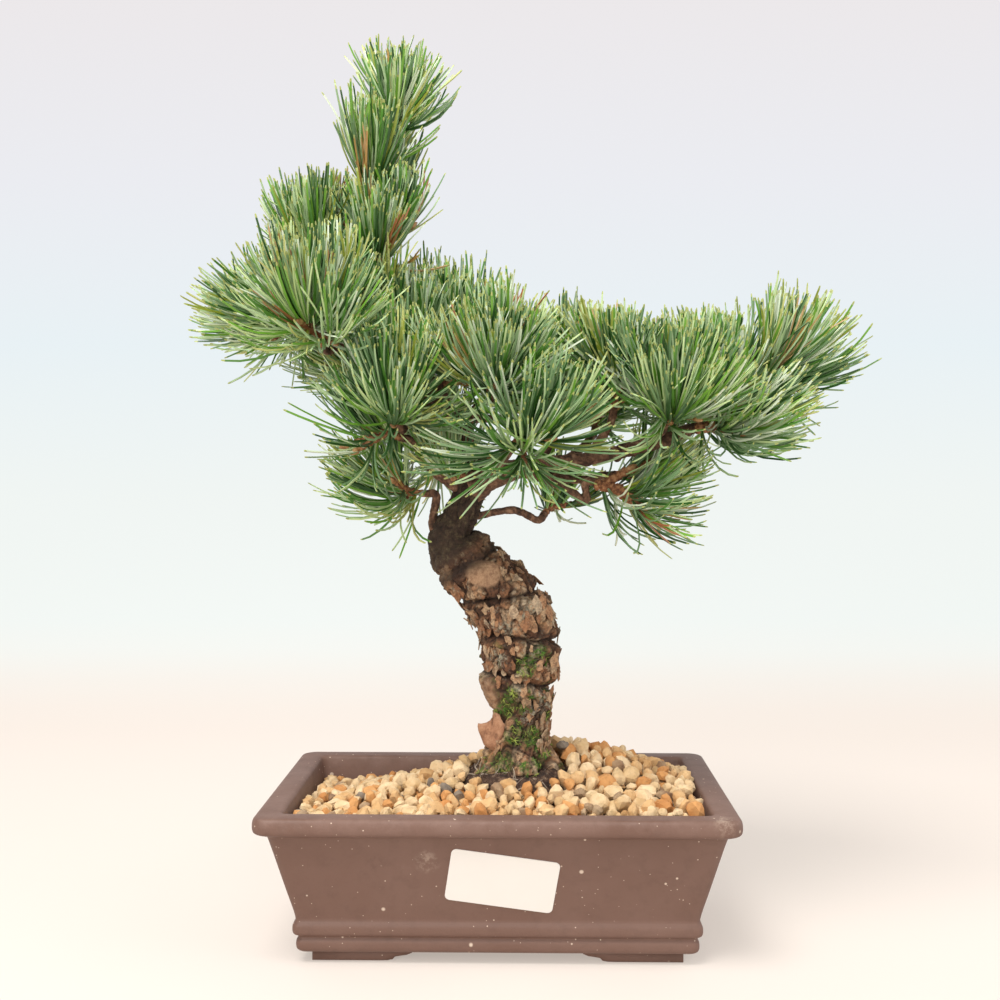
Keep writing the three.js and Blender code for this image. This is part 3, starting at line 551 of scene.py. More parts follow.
def gravel_top(flat):
    x, y = np.asarray(flat).T
    (px, py), (wx, wy), (tx, ty) = gravel["peak"], gravel["spread"], gravel["tilt"]
    heap = np.exp(-(((x - px) / wx) ** 2) - ((y - py) / wy) ** 2)
    return gravel["middle"] + tx * x + ty * y + gravel["rise"] * heap


def apply_tree(made, tree, values, name):
    """The plain mesh that a tree of geometry nodes makes of an object, in place of it."""
    modifier = made.modifiers.new("nodes", "NODES")
    modifier.node_group = tree
    for socket in tree.interface.items_tree:
        if socket.in_out == "INPUT" and socket.name in values:
            modifier[socket.identifier] = values[socket.name]
    seen = made.evaluated_get(bpy.context.evaluated_depsgraph_get())
    result = bpy.data.objects.new(name, bpy.data.meshes.new_from_object(seen))
    result.data.name = name
    made.modifiers.remove(modifier)
    bpy.context.scene.collection.objects.link(result)
    return result


def scatter_tree():
    """Geometry nodes that strew one collection's pieces over a surface and join them."""
    tree = bpy.data.node_groups.new("strewn", "GeometryNodeTree")
    tree.interface.new_socket(name="Geometry", in_out="OUTPUT", socket_type="NodeSocketGeometry")
    for name, kind, value in (
        ("Geometry", "Geometry", None), ("Pieces", "Collection", None), ("Spacing", "Float", 0.005),
        ("Smallest", "Float", 0.002), ("Largest", "Float", 0.004), ("From Share", "Float", 0.0),
        ("To Share", "Float", 1.0), ("Seed", "Int", 1), ("Material", "Material", None),
    ):
        socket = tree.interface.new_socket(name=name, in_out="INPUT", socket_type="NodeSocket" + kind)
        if value is not None:
            socket.default_value = value
    given = add_node(tree, "NodeGroupInput").outputs
    points = add_node(tree, "GeometryNodeDistributePointsOnFaces", {
        "Mesh": given["Geometry"], "Distance Min": given["Spacing"], "Density Max": 200000.0,
        "Seed": given["Seed"],
    }, distribute_method="POISSON").outputs["Points"]
    draw = add_node(tree, "FunctionNodeRandomValue", {"Seed": 7}, data_type="FLOAT").outputs[1]
    low = add_node(tree, "FunctionNodeCompare", {0: draw, 1: given["From Share"]},
                   data_type="FLOAT", operation="LESS_THAN").outputs[0]
    high = add_node(tree, "FunctionNodeCompare", {0: draw, 1: given["To Share"]},
                    data_type="FLOAT", operation="GREATER_EQUAL").outputs[0]
    outside = add_node(tree, "FunctionNodeBooleanMath", {0: low, 1: high}, operation="OR").outputs[0]
    points = add_node(tree, "GeometryNodeDeleteGeometry", {
        "Geometry": points, "Selection": outside,
    }).outputs[0]
    pieces = add_node(tree, "GeometryNodeCollectionInfo", {
        "Collection": given["Pieces"], "Separate Children": True, "Reset Children": True,
    }).outputs[0]
    turn = add_node(tree, "FunctionNodeRandomValue", {
        "Min": (0, 0, 0), "Max": (6.28, 6.28, 6.28), "Seed": 3,
    }, data_type="FLOAT_VECTOR").outputs[0]
    size = add_node(tree, "FunctionNodeRandomValue", {
        2: given["Smallest"], 3: given["Largest"], "Seed": 5,
    }, data_type="FLOAT").outputs[1]
    laid = add_node(tree, "GeometryNodeInstanceOnPoints", {
        "Points": points, "Instance": pieces, "Pick Instance": True, "Rotation": turn, "Scale": size,
    }).outputs[0]
    real = add_node(tree, "GeometryNodeRealizeInstances", {"Geometry": laid}).outputs[0]
    done = add_node(tree, "GeometryNodeSetMaterial", {
        "Geometry": real, "Material": given["Material"],
    }).outputs[0]
    add_node(tree, "NodeGroupOutput", {"Geometry": done})
    return tree


def pebble_shapes(count):
    """A collection of stones of about unit radius, each chipped flat on many sides."""
    shapes = bpy.data.collections.new("pebble_shapes")
    bpy.context.scene.collection.children.link(shapes)
    for k in range(count):
        bpy.ops.mesh.primitive_ico_sphere_add(subdivisions=2, radius=1)
        stone = bpy.context.object
        squash = Vector((1.0, 0.8 + 0.06 * (k % 4), 0.68 + 0.09 * (k % 3)))
        chips = [noise.random_unit_vector() for _ in range(pebble["chips"])]
        depths = [pebble["chip_near"] + pebble["chip_range"] * noise.random() for _ in chips]
        for corner in stone.data.vertices:
            way = corner.co.normalized()
            reach = min([1.0] + [d / max(way.dot(c), 0.05) for c, d in zip(chips, depths)])
            corner.co = way * reach * squash * pebble["swell"]
        bpy.context.scene.collection.objects.unlink(stone)
        shapes.objects.link(stone)
    return shapes


def stone_material(name, dull, bright):
    """Stone of two colours in soft patches, with darker grime in its pits."""
    stone = new_material("stone_" + name, dull, 0.85)
    set_shader(stone, "Base Color", layered(stone, dull, [
        (patchy(stone, (95, 3, 0.55), 0.35, 0.65), bright),
        (patchy(stone, (520, 5, 0.7), 0.52, 0.72, 0, 0.45), tuple(0.45 * c for c in dull)),
    ]))
    bumped(stone, (1100, 4, 0.65), 0.5, 0.0006)
    return stone


def strewn_over(name, material, shapes, points, faces, sizes, shares, seed):
    """Shapes of one material strewn over some faces of a surface, as one object."""
    bed = mesh_of("bed", points, [faces], [])
    made = apply_tree(bed, strewn, {
        "Pieces": shapes, "Spacing": sizes["spacing"] * MM, "Smallest": sizes["smallest"] * MM,
        "Largest": sizes["largest"] * MM, "From Share": shares[0], "To Share": shares[1],
        "Seed": seed, "Material": material,
    }, name)
    bpy.data.objects.remove(bed)
    return made


def drop_shapes(shapes):
    """Takes a collection of shapes out once they are strewn."""
    for shape in list(shapes.objects):
        bpy.data.objects.remove(shape)
    bpy.data.collections.remove(shapes)


bed_inset = wall_inset(gravel["middle"]) + gravel["clear"]
bed_spots = rings_to_mound(bed_inset, np.linspace(1, 0.2, 14), (30, 20))
bed_flat = np.vstack(bed_spots)
bed_faces = grid_faces(len(bed_spots), len(bed_spots[0]))
bed_centres = bed_flat[bed_faces].mean(1)
from_trunk = np.hypot(*(bed_centres - soil["mound"]).T)
bare = np.where(bed_centres[:, 1] < gravel["front_to"], gravel["bare_front"], gravel["bare_back"])
bare = bare + gravel["ragged"] * relief(np.column_stack([bed_centres, bed_centres[:, 0] * 0]), 9)
open_bed = bed_faces[from_trunk > bare]
strewn = scatter_tree()
noise.seed_set(41)
pebbles = pebble_shapes(gravel["shapes"])
pebble_pieces = []
share_from = 0.0
for stone_name, (share, dull, bright) in stones.items():
    stone = stone_material(stone_name, dull, bright)
    parts = []
    for lift, seed in gravel["layers"]:
        bed_points = np.column_stack([bed_flat, gravel_top(bed_flat) + lift])
        parts.append(strewn_over("pebbles_" + stone_name, stone, pebbles, to_frame(bed_points), open_bed,
                                 gravel, (share_from, share_from + share), seed))
    with bpy.context.temp_override(active_object=parts[0], selected_editable_objects=parts):
        bpy.ops.object.join()
    pebble_pieces.append(parts[0])
    share_from += share
drop_shapes(pebbles)
for piece in pebble_pieces:
    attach(piece, "root")
    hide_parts("gravel")


# Trunk. Old pine bark in cracked plates, bitten by training wire in four places, over a
# flared foot. Above a thin smooth neck it runs on as the leader through the crown.
trunk_line = [
    (8, 0, 64.8), (7.8, 1, 77), (10.6, 1, 90), (8.8, 0, 106), (8, -1, 120), (3.8, -1, 132),
    (-5, 0, 143), (-14, 1, 153), (-19, 0, 161), (-16.4, -1, 168), (-13, 0, 177),
    (-10.6, 1, 186), (-15, 2, 198), (-29, 5, 223), (-42, 5, 248), (-57, 0, 276),
    (-52.4, -1, 301), (-47.8, 0, 315), (-44.5, 0, 325),
]
trunk_radius = [
    (64.8, 17), (72, 14), (80, 12.6), (88, 11.4), (96, 12.8), (106, 15.8), (113, 17),
    (128, 17.8), (140, 16), (148, 15.2), (154, 14), (160, 10.2), (167, 7.6), (176, 7),
    (184, 7.7), (192, 7.4), (210, 5.4), (248, 3.6), (300, 2.1), (325, 1.6),
]
# Where wire bit in: height at the trunk's middle, slope from left to right, depth.
wire_scars = [(102.5, -0.22, 3.4), (120.4, -0.09, 3.8), (136.5, 0.28, 3.2), (151, 0.6, 2)]
trunk_sides = 168
# Where the outer side of the bend is drawn in, and the left of the trunk swells.
bend_tuck = {"height": 151, "reach": 11, "depth": 2.2}
left_swell = {"height": 96, "reach": 10, "depth": 2.6}
foot_lobes = {"count": 5, "share": 0.16, "fade": 16, "turn": 0.6}
oval = {"share": 0.04, "twist": 15}
# Across a wire scar: the depth and reach of its sharp and its wide groove, and its lips'
# height, distance and reach.
groove = {"sharp": (0.75, 1.15), "wide": (0.3, 3), "lip": (0.7, 3.6, 1.7)}
cut_scar = {"place": (-6, -17, 147), "reach": (8.5, 12, 6.5), "edge": (0.75, 1.05), "lip": (1.1, 0.16)}
# Heights between which one kind of bark gives way to the next.
zones = {"old_top": (150, 158), "upper": (148, 160), "upper_top": (196, 215), "leader": (190, 230),
         "strip": (86, 90), "strip_top": (103, 107), "moss": (78, 112), "moss_top": (112, 128)}
# How far plates and cracks stand out or in, in millimetres, large ones and fine ones.
bark_depths = {"plate": 1.0, "crack": 1.3, "fine_plate": 0.9, "fine_crack": 0.6}
# The dark band where the old bark ends and the smooth neck begins, on a slope over the bend.
dark_slope = {"x": -11, "height": 151, "rise": 0.7, "reach": 3.6, "between": (138, 166)}
# Spots on the trunk's front: x, height and reach.
moss_spots = [(2.5, 91.5, 5), (1, 70, 6), (6, 80, 5), (13, 80, 5), (4.5, 98, 4), (11, 110, 6), (17, 116, 4)]
lichen_spots = [(18, 94, 7), (7, 98, 5), (12, 88, 4), (3, 124, 5), (14, 114, 6), (-2, 112, 5), (12, 132, 5)]


class Curve:
    """A smooth curve through points, read at shares of its length."""

    def __init__(self, points, steps=24):
        p = np.array(points, float)
        p = np.vstack([2 * p[0] - p[1], p, 2 * p[-1] - p[-2]])
        t = np.linspace(0, 1, steps, endpoint=False)[:, None]
        line = []
        for a, b, c, d in zip(p, p[1:], p[2:], p[3:]):
            ab, bc, cd = (np.linalg.norm(v) ** 0.5 for v in (b - a, c - b, d - c))
            start = ((b - a) / ab - (c - a) / (ab + bc) + (c - b) / bc) * bc
            end = ((c - b) / bc - (d - b) / (bc + cd) + (d - c) / cd) * bc
            line.append(b + start * t + (3 * (c - b) - 2 * start - end) * t ** 2
                        + (2 * (b - c) + start + end) * t ** 3)
        self.line = np.vstack([*line, p[-2]])
        self.along = np.concatenate([[0], np.cumsum(np.linalg.norm(np.diff(self.line, axis=0), axis=1))])
        self.length = self.along[-1]

    def at(self, shares):
        places = np.asarray(shares, float) * self.length
        return np.stack([np.interp(places, self.along, self.line[:, k]) for k in range(3)], -1)

    def way(self, shares):
        step = 0.5 / self.length
        shares = np.asarray(shares, float)
        run = self.at(np.minimum(shares + step, 1)) - self.at(np.maximum(shares - step, 0))
        return run / np.linalg.norm(run, axis=-1, keepdims=True)


def tube_frame(curve, shares):
    """Middles, ways and two square directions along a curve, without a twist."""
    middles, ways = curve.at(shares), curve.way(shares)
    normal = np.array([0.0, 1.0, 0.0]) if abs(ways[0][0]) > 0.9 else np.array([1.0, 0.0, 0.0])
    normals = []
    for way in ways:
        normal = normal - way * (normal @ way)
        normal = normal / np.linalg.norm(normal)
        normals.append(normal)
    return middles, ways, np.array(normals), np.cross(ways, np.array(normals))


def wandering(points):
    """How far the wire's scars stray up and down, in millimetres."""
    return 0.9 * relief(points, 9, 2, 1.7)


def tube(curve, shares, sides, radius_at):
    """Rings of points round a curve. radius_at takes every point's share, middle and way out."""
    middles, _, normals, across = tube_frame(curve, shares)
    angles = 2 * math.pi * np.arange(sides) / sides
    out = normals[:, None] * np.cos(angles)[:, None] + across[:, None] * np.sin(angles)[:, None]
    middles = np.repeat(middles[:, None], sides, 1).reshape(-1, 3)
    out = out.reshape(-1, 3)
    spread = np.repeat(np.asarray(shares, float), sides)
    return middles + out * radius_at(spread, middles, out)[:, None], out


def trunk_radius_at(shares, middles, out):
    """The trunk's radius under its bark, with its foot's lobes, swellings and wire scars."""
    height = middles[:, 2]
    radius = np.interp(height, *np.array(trunk_radius).T)
    angle = np.arctan2(out[:, 1], out[:, 0])
    low = np.clip(1 - (height - trunk_line[0][2]) / foot_lobes["fade"], 0, None)
    lobes = np.cos(foot_lobes["count"] * angle + foot_lobes["turn"])
    radius = radius * (1 + foot_lobes["share"] * low * lobes)
    radius = radius * (1 + oval["share"] * np.cos(2 * angle + height / oval["twist"]))
    radius = radius - bend_tuck["depth"] * out[:, 0] * np.exp(
        -(((height - bend_tuck["height"]) / bend_tuck["reach"]) ** 2))
    radius = radius + left_swell["depth"] * np.clip(-out[:, 0], 0, 1) * np.exp(
        -(((height - left_swell["height"]) / left_swell["reach"]) ** 4))
    wobble = wandering(middles + out * radius[:, None])
    lip, lip_off, lip_reach = groove["lip"]
    for scar_height, rise, depth in wire_scars:
        off = height + out[:, 2] * radius - scar_height - rise * out[:, 0] * radius + wobble
        for share, reach in (groove["sharp"], groove["wide"]):
            radius = radius - share * depth * np.exp(-((off / reach) ** 2))
        radius = radius + lip * np.exp(-(((np.abs(off) - lip_off) / lip_reach) ** 2))
    return radius


def plates(points, size, seed=0.0):
    """Cracked plates over points: how deep in a crack each point is, and its plate's tone."""
    warped = np.asarray(points) / size
    warped[:, 2] *= 0.62
    cracks, tones = [], []
    for p in warped:
        q = Vector(p) + 0.35 * noise.noise_vector(Vector(p) * 1.7 + Vector((seed, 0, 0)))
        (first, second, *_), (centre, *_) = noise.voronoi(q)
        cracks.append(second - first)
        tones.append(noise.cell(centre * 7.3))
    return 1 - np.clip(np.array(cracks) / 0.16, 0, 1), np.array(tones)


def smooth_step(value, low, high):
    t = np.clip((value - low) / (high - low), 0, 1)
    return t * t * (3 - 2 * t)


trunk_curve = Curve(trunk_line)
trunk_shares = np.concatenate([np.linspace(0, 0.43, 300, endpoint=False), np.linspace(0.43, 1, 140)])
trunk_body, trunk_out = tube(trunk_curve, trunk_shares, trunk_sides, trunk_radius_at)
trunk_middles = trunk_curve.at(trunk_shares).repeat(trunk_sides, 0)
trunk_height = trunk_middles[:, 2]
old_bark = 1 - smooth_step(trunk_height, *zones["old_top"])
upper_bark = smooth_step(trunk_height, *zones["upper"])
upper_bark *= 1 - smooth_step(trunk_height, *zones["upper_top"])
leader = smooth_step(trunk_height, *zones["leader"])
crack, plate_tone = plates(trunk_body, 7.5)
fine_crack, fine_tone = plates(trunk_body, 2.9, 5.0)
from_scar = np.linalg.norm((trunk_body - cut_scar["place"]) / cut_scar["reach"], axis=1)
scar = 1 - smooth_step(from_scar, *cut_scar["edge"])
scar_lip = np.exp(-(((from_scar - cut_scar["lip"][0]) / cut_scar["lip"][1]) ** 2))
# The smooth strip on the left where bark has peeled off.
strip = smooth_step(-trunk_out[:, 0], 0.62, 0.8) * smooth_step(-trunk_out[:, 1], -0.6, -0.3)
strip *= smooth_step(trunk_height, *zones["strip"]) * (1 - smooth_step(trunk_height, *zones["strip_top"]))
rough = np.maximum(old_bark, 0.45 * upper_bark) * (1 - scar) * (1 - 0.85 * strip)
lift = rough * (bark_depths["plate"] * (plate_tone - 0.5) - bark_depths["crack"] * crack
                - bark_depths["fine_crack"] * fine_crack + bark_depths["fine_plate"] * (fine_tone - 0.5))
lift += (0.3 + 0.3 * rough) * relief(trunk_body * (1, 1, 0.7), 2.1, 6, 8.2) * (1 - 0.75 * scar)
lift += 0.25 * rough * relief(trunk_body * (1, 1, 0.5), 0.9, 3, 4.9)
lift += 0.9 * scar_lip * old_bark - 0.5 * scar
lift *= 1 - 0.55 * leader
trunk_points = trunk_body + trunk_out * lift[:, None]
trunk_ends = np.array([trunk_line[0], trunk_curve.at(1.0)])
trunk_faces = capped_faces(len(trunk_shares), trunk_sides)
in_scar = np.zeros(len(trunk_points))
scar_wobble = wandering(trunk_body)
for height, rise, depth in wire_scars:
    off = trunk_body[:, 2] - height - rise * (trunk_body[:, 0] - trunk_middles[:, 0])
    in_scar = np.maximum(in_scar, np.exp(-(((off + scar_wobble) / 1.0) ** 2)) * old_bark)
band_off = (trunk_body[:, 2] - dark_slope["height"]
            - dark_slope["rise"] * (trunk_body[:, 0] - dark_slope["x"]))
band_foot, band_top = dark_slope["between"]
dark_band = np.exp(-((band_off / dark_slope["reach"]) ** 2))
dark_band *= (trunk_body[:, 2] > band_foot) * (trunk_body[:, 2] < band_top)
shade = np.maximum.reduce([crack * rough, 0.75 * fine_crack * rough, in_scar, 0.9 * dark_band])
shade = np.clip(shade, 0, 1)
moss_noise = relief(trunk_body, 5, 4, 21.0)
mossy_foot = smooth_step(-trunk_height, -zones["moss"][1], -zones["moss"][0])
moss = smooth_step(moss_noise + 0.3 * mossy_foot - 0.1, 0.2, 0.5)
moss *= (1 - smooth_step(trunk_height, *zones["moss_top"])) * (1 - strip)


def front_spots(spots):
    """1 in round spots on the trunk's front, given as x, height and reach, and 0 around them."""
    found = np.zeros(len(trunk_body))
    for x, height, reach in spots:
        away = np.hypot(trunk_body[:, 0] - x, trunk_body[:, 2] - height) + 1.4 * moss_noise
        found = np.maximum(found, (1 - smooth_step(away, 0.6 * reach, reach)) * (trunk_out[:, 1] < 0.2))
    return found


moss = np.maximum(moss, front_spots(moss_spots)) * (1 - in_scar)
grey_lichen = front_spots(lichen_spots) * (1 - in_scar)

bark = new_material("pine_bark", (0.24, 0.14, 0.09), 0.9)
plate_mix = math_on(bark, "ADD", times(bark, tone_of(bark, "tone"), 0.55),
                    times(bark, noise_on(bark, 130, 6, 0.65), 0.6))
plate_colour = colours_along(bark, plate_mix, [
    (0.2, (0.16, 0.07, 0.034)), (0.36, (0.36, 0.165, 0.075)), (0.5, (0.5, 0.275, 0.14)),
    (0.64, (0.57, 0.38, 0.22)), (0.8, (0.64, 0.49, 0.33)),
])
neck_colour = mottled(bark, (330, 7, 0.78), [
    (0.36, (0.018, 0.011, 0.008)), (0.5, (0.048, 0.03, 0.018)), (0.6, (0.11, 0.08, 0.04)),
    (0.72, (0.24, 0.18, 0.1)),
])
leader_colour = mottled(bark, (300, 5, 0.7), [
    (0.35, (0.1, 0.05, 0.03)), (0.55, (0.24, 0.125, 0.07)), (0.72, (0.36, 0.22, 0.13)),
])
scar_colour = mottled(bark, (420, 7, 0.75), [(0.35, (0.2, 0.1, 0.055)), (0.6, (0.46, 0.28, 0.16))])
moss_colour = mottled(bark, (700, 5, 0.7), [
    (0.35, (0.03, 0.05, 0.012)), (0.55, (0.11, 0.16, 0.03)), (0.72, (0.3, 0.33, 0.12)),
])
grit = patchy(bark, (620, 6, 0.8), 0.42, 0.56, 0.62, 0)
lichen = patchy(bark, (330, 6, 0.8), 0.56, 0.63, 0, 0.55)
pale_flecks = patchy(bark, (800, 6, 0.8), 0.46, 0.56, 0, 0.9)
tufted = patchy(bark, (560, 5, 0.75), 0.4, 0.54, 0.15, 0.95)
bark_colour = layered(bark, neck_colour, [
    (tone_of(bark, "old"), plate_colour),
    (tone_of(bark, "leader"), leader_colour),
    (grit, (0.07, 0.036, 0.022)),
    (times(bark, lichen, tone_of(bark, "old")), (0.4, 0.37, 0.27)),
    (times(bark, pale_flecks, tone_of(bark, "lichen")), (0.42, 0.4, 0.29)),
    (tone_of(bark, "scar"), scar_colour),
    (times(bark, tone_of(bark, "moss"), tufted), moss_colour),
    (times(bark, tone_of(bark, "shade"), 0.93), (0.022, 0.013, 0.009)),
])
set_shader(bark, "Base Color", bark_colour)
bumped(bark, (900, 6, 0.75), 0.8, 0.0008)

tree_trunk = mesh_of("barked_trunk", to_frame(np.vstack([trunk_points, trunk_ends])), trunk_faces, [bark])
for name, values in (("shade", shade), ("tone", 0.7 * plate_tone + 0.3 * fine_tone), ("old", old_bark),
                     ("leader", leader), ("moss", moss), ("lichen", grey_lichen),
                     ("scar", np.maximum(scar, 0.8 * strip) * old_bark)):
    add_tone(tree_trunk, name, np.concatenate([values, [0, 0]]))
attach(tree_trunk, "root")
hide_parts("trunk")


# Bark flakes. Thin curled scales that stand off the old trunk, and at its left foot one
# large smooth piece of reddish bark that has peeled away and hangs by its right edge.
flakes = {"count": 300, "reach": (1.2, 3.3), "ragged": (0.45, 1.25), "thickness": 0.35, "sides": 8,
          "heights": (74, 149), "tilt": (0.05, 0.5), "tones": (0.05, 0.8), "across": 0.8, "along": 1.2,
          "stand": 0.35, "curl": 30}
peel = {
    "outline": [(-9, 85.3), (-3.9, 85.7), (-3.1, 88.1), (-0.4, 90.1), (2, 85.7), (2.2, 81.8),
                (0, 77.1), (-2.3, 73.6), (-5.1, 75.1), (-8.3, 81.1)],
    "front": -9.8, "slope": 0.36, "curl": 0.012, "held_at": 2.2, "thickness": 0.7, "middle": (-3, 82),
    "ragged": 0.35, "rings": ((0.3, 0), (0.65, 0), (1, 0), (1, 1), (0.65, 1), (0.3, 1)),
}
flake_draw = np.random.default_rng(31)
on_old = np.nonzero((trunk_height > flakes["heights"][0]) & (trunk_height < flakes["heights"][1])
                    & (scar < 0.1) & (strip < 0.1) & (in_scar < 0.25) & (dark_band < 0.2) & (moss < 0.5))[0]
flake_points, flake_faces, flake_tones = [], [], []
for spot in flake_draw.choice(on_old, flakes["count"], replace=False):
    out = trunk_out[spot]
    up = np.array([0, 0, 1.0]) - out * out[2]
    up = up / np.linalg.norm(up)
    side = np.cross(up, out)
    count = flakes["sides"]
    angles = 2 * math.pi * np.arange(count) / count
    reach = flake_draw.uniform(*flakes["reach"]) * flake_draw.uniform(*flakes["ragged"], count)
    flat = np.stack([np.cos(angles) * reach * flakes["across"], np.sin(angles) * reach * flakes["along"]], 1)
    lean = flake_draw.uniform(0, 2 * math.pi)
    lifted = flat @ (math.cos(lean), math.sin(lean)) * flake_draw.uniform(*flakes["tilt"])
    lifted = lifted + flakes["stand"] - (flat[:, 0] ** 2) / flakes["curl"]
    ring = trunk_points[spot] + flat[:, :1] * side + flat[:, 1:] * up + lifted[:, None] * out
    layers = np.vstack([ring - 0.6 * flakes["thickness"] * out, ring + 0.4 * flakes["thickness"] * out])
    offset = sum(len(group) for group in flake_points)
    flake_points.append(np.vstack([layers, layers[:count].mean(0), layers[count:].mean(0)]))
    flake_faces += capped_faces(2, count, offset)
    flake_tones.append(np.full(2 * count + 2, flake_draw.uniform(*flakes["tones"])))
bark_flakes = mesh_of("bark_flakes", to_frame(np.vstack(flake_points)), flake_faces, [bark], smooth=False)
add_tone(bark_flakes, "tone", np.concatenate(flake_tones))
add_tone(bark_flakes, "old", np.ones(len(bark_flakes.data.vertices)))

peel_edge = softened([*peel["outline"], peel["outline"][0]], 1)[1:]
peel_edge = peel_edge + peel["ragged"] * flake_draw.normal(size=peel_edge.shape)
peel_rings = []
for share, layer in peel["rings"]:
    flat = peel["middle"] + (peel_edge - peel["middle"]) * share
    away = peel["held_at"] - flat[:, 0]
    depth = peel["front"] + peel["slope"] * away - peel["curl"] * away ** 2 - layer * peel["thickness"]
    peel_rings.append(np.column_stack([flat[:, 0], depth, flat[:, 1]]))
peel_points = np.vstack([*peel_rings, peel_rings[0].mean(0), peel_rings[-1].mean(0)])
peel_faces = turned_over(capped_faces(len(peel_rings), len(peel_edge)))
inner_bark = new_material("inner_bark", (0.45, 0.2, 0.11), 0.75)
set_shader(inner_bark, "Base Color", mottled(inner_bark, (260, 5, 0.7), [
    (0.34, (0.17, 0.07, 0.035)), (0.5, (0.37, 0.18, 0.095)), (0.68, (0.5, 0.28, 0.16)),
]))
peeled_bark = mesh_of("peeled_bark", to_frame(peel_points), peel_faces, [inner_bark])
for piece in (bark_flakes, peeled_bark):
    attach(piece, "root")


# Moss and litter. Short green sprigs of moss on the shaded bark, and dry brown and grey
# fibres strewn over the bare soil round the foot.
sprigs = {"spacing": 0.8, "smallest": 1, "largest": 2.3, "shapes": 4, "spikes": 8, "girth": 0.1, "bend": 0.1}
litter = {"spacing": 1.0, "smallest": 2.2, "largest": 5.5, "shapes": 6, "spikes": 2, "girth": 0.045,
          "bend": 0.16, "reach": 28, "above": 50}
moss_kinds = {"green": (0.55, (0.09, 0.2, 0.025)), "yellow": (0.45, (0.3, 0.36, 0.07))}
litter_kinds = {"brown": (0.7, (0.06, 0.032, 0.02)), "grey": (0.3, (0.42, 0.34, 0.26))}


def spiky_shapes(name, sizes):
    """A collection of small bunches of three-sided spikes, curved by a bend, of unit length."""
    shapes = bpy.data.collections.new(name)
    bpy.context.scene.collection.children.link(shapes)
    draw = np.random.default_rng(17)
    for _ in range(sizes["shapes"]):
        points, faces = [], []
        for _ in range(sizes["spikes"]):
            way, off = draw.normal(size=(2, 3))
            way = way / np.linalg.norm(way)
            off = np.cross(way, off / np.linalg.norm(off))
            over = np.cross(way, off)
            ring = [off * math.cos(a) + over * math.sin(a) for a in (0, 2.1, 4.2)]
            first = len(points)
            points += [sizes["girth"] * r for r in ring]
            points += [0.5 * way + sizes["bend"] * off + sizes["girth"] * r for r in ring]
            points += [way, 0 * way]
            for i, j in ((0, 1), (1, 2), (2, 0)):
                faces += [(first + i, first + j, first + 3 + j, first + 3 + i)]
                faces += [(first + 3 + i, first + 3 + j, first + 6), (first + j, first + i, first + 7)]
        mesh = bpy.data.meshes.new(name)
        mesh.from_pydata([tuple(p) for p in points], [], faces)
        shapes.objects.link(bpy.data.objects.new(name, mesh))
    return shapes


def strew_kinds(name, kinds, sizes, points, faces, seed, roughness):
    """One piece for each kind of a strewn thing, over some faces of a surface."""
    shapes = spiky_shapes(name + "_shapes", sizes)
    made = []
    share_from = 0.0
    for kind, (share, colour) in kinds.items():
        paint = new_material(f"{name}_{kind}", colour, roughness)
        dark, bright = tuple(0.4 * c for c in colour), tuple(min(1, 1.5 * c) for c in colour)
        set_shader(paint, "Base Color", mixed(paint, noise_on(paint, 420, 3), dark, bright))
        made.append(strewn_over(f"{name}_{kind}", paint, shapes, points, faces, sizes,
                                (share_from, share_from + share), seed))
        share_from += share
    drop_shapes(shapes)
    return made


trunk_quads = trunk_faces[0]
mossy = trunk_quads[(moss[trunk_quads].min(1) > 0.5)]
moss_pieces = strew_kinds("moss", moss_kinds, sprigs, to_frame(trunk_points), mossy, 3, 0.9)
soil_quads = soil_faces[0]
quad_spots = soil_points[soil_quads]
near_foot = soil_quads[(np.hypot(*(quad_spots.mean(1)[:, :2] - soil["mound"]).T) < litter["reach"])
                       & (quad_spots[..., 2].min(1) > litter["above"])]
litter_pieces = strew_kinds("litter", litter_kinds, litter, to_frame(soil_points), near_foot, 5, 0.95)
for piece in moss_pieces:
    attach(piece, "root")
for piece in litter_pieces:
    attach(piece, "root")


# Boughs. Thinner limbs that leave the trunk and each other in a swelling collar and taper
# into the shoots. Their bark is thin, scaly and red-brown.
SHOOT_LENGTH = 13
limb = {"tip_radius": 1.6, "lead": 5, "ring_gap": 0.8, "stout": 3, "stout_sides": 22, "sides": 14,
        "knots": 0.16, "scales": 0.32}
# The swelling where a limb leaves its parent: a share of its radius, and its length in radii.
# One limb has its own, with the length in millimetres.
usual_collar = (0.55, 2.2)
collars = {"right_stub": (0.85, 13)}
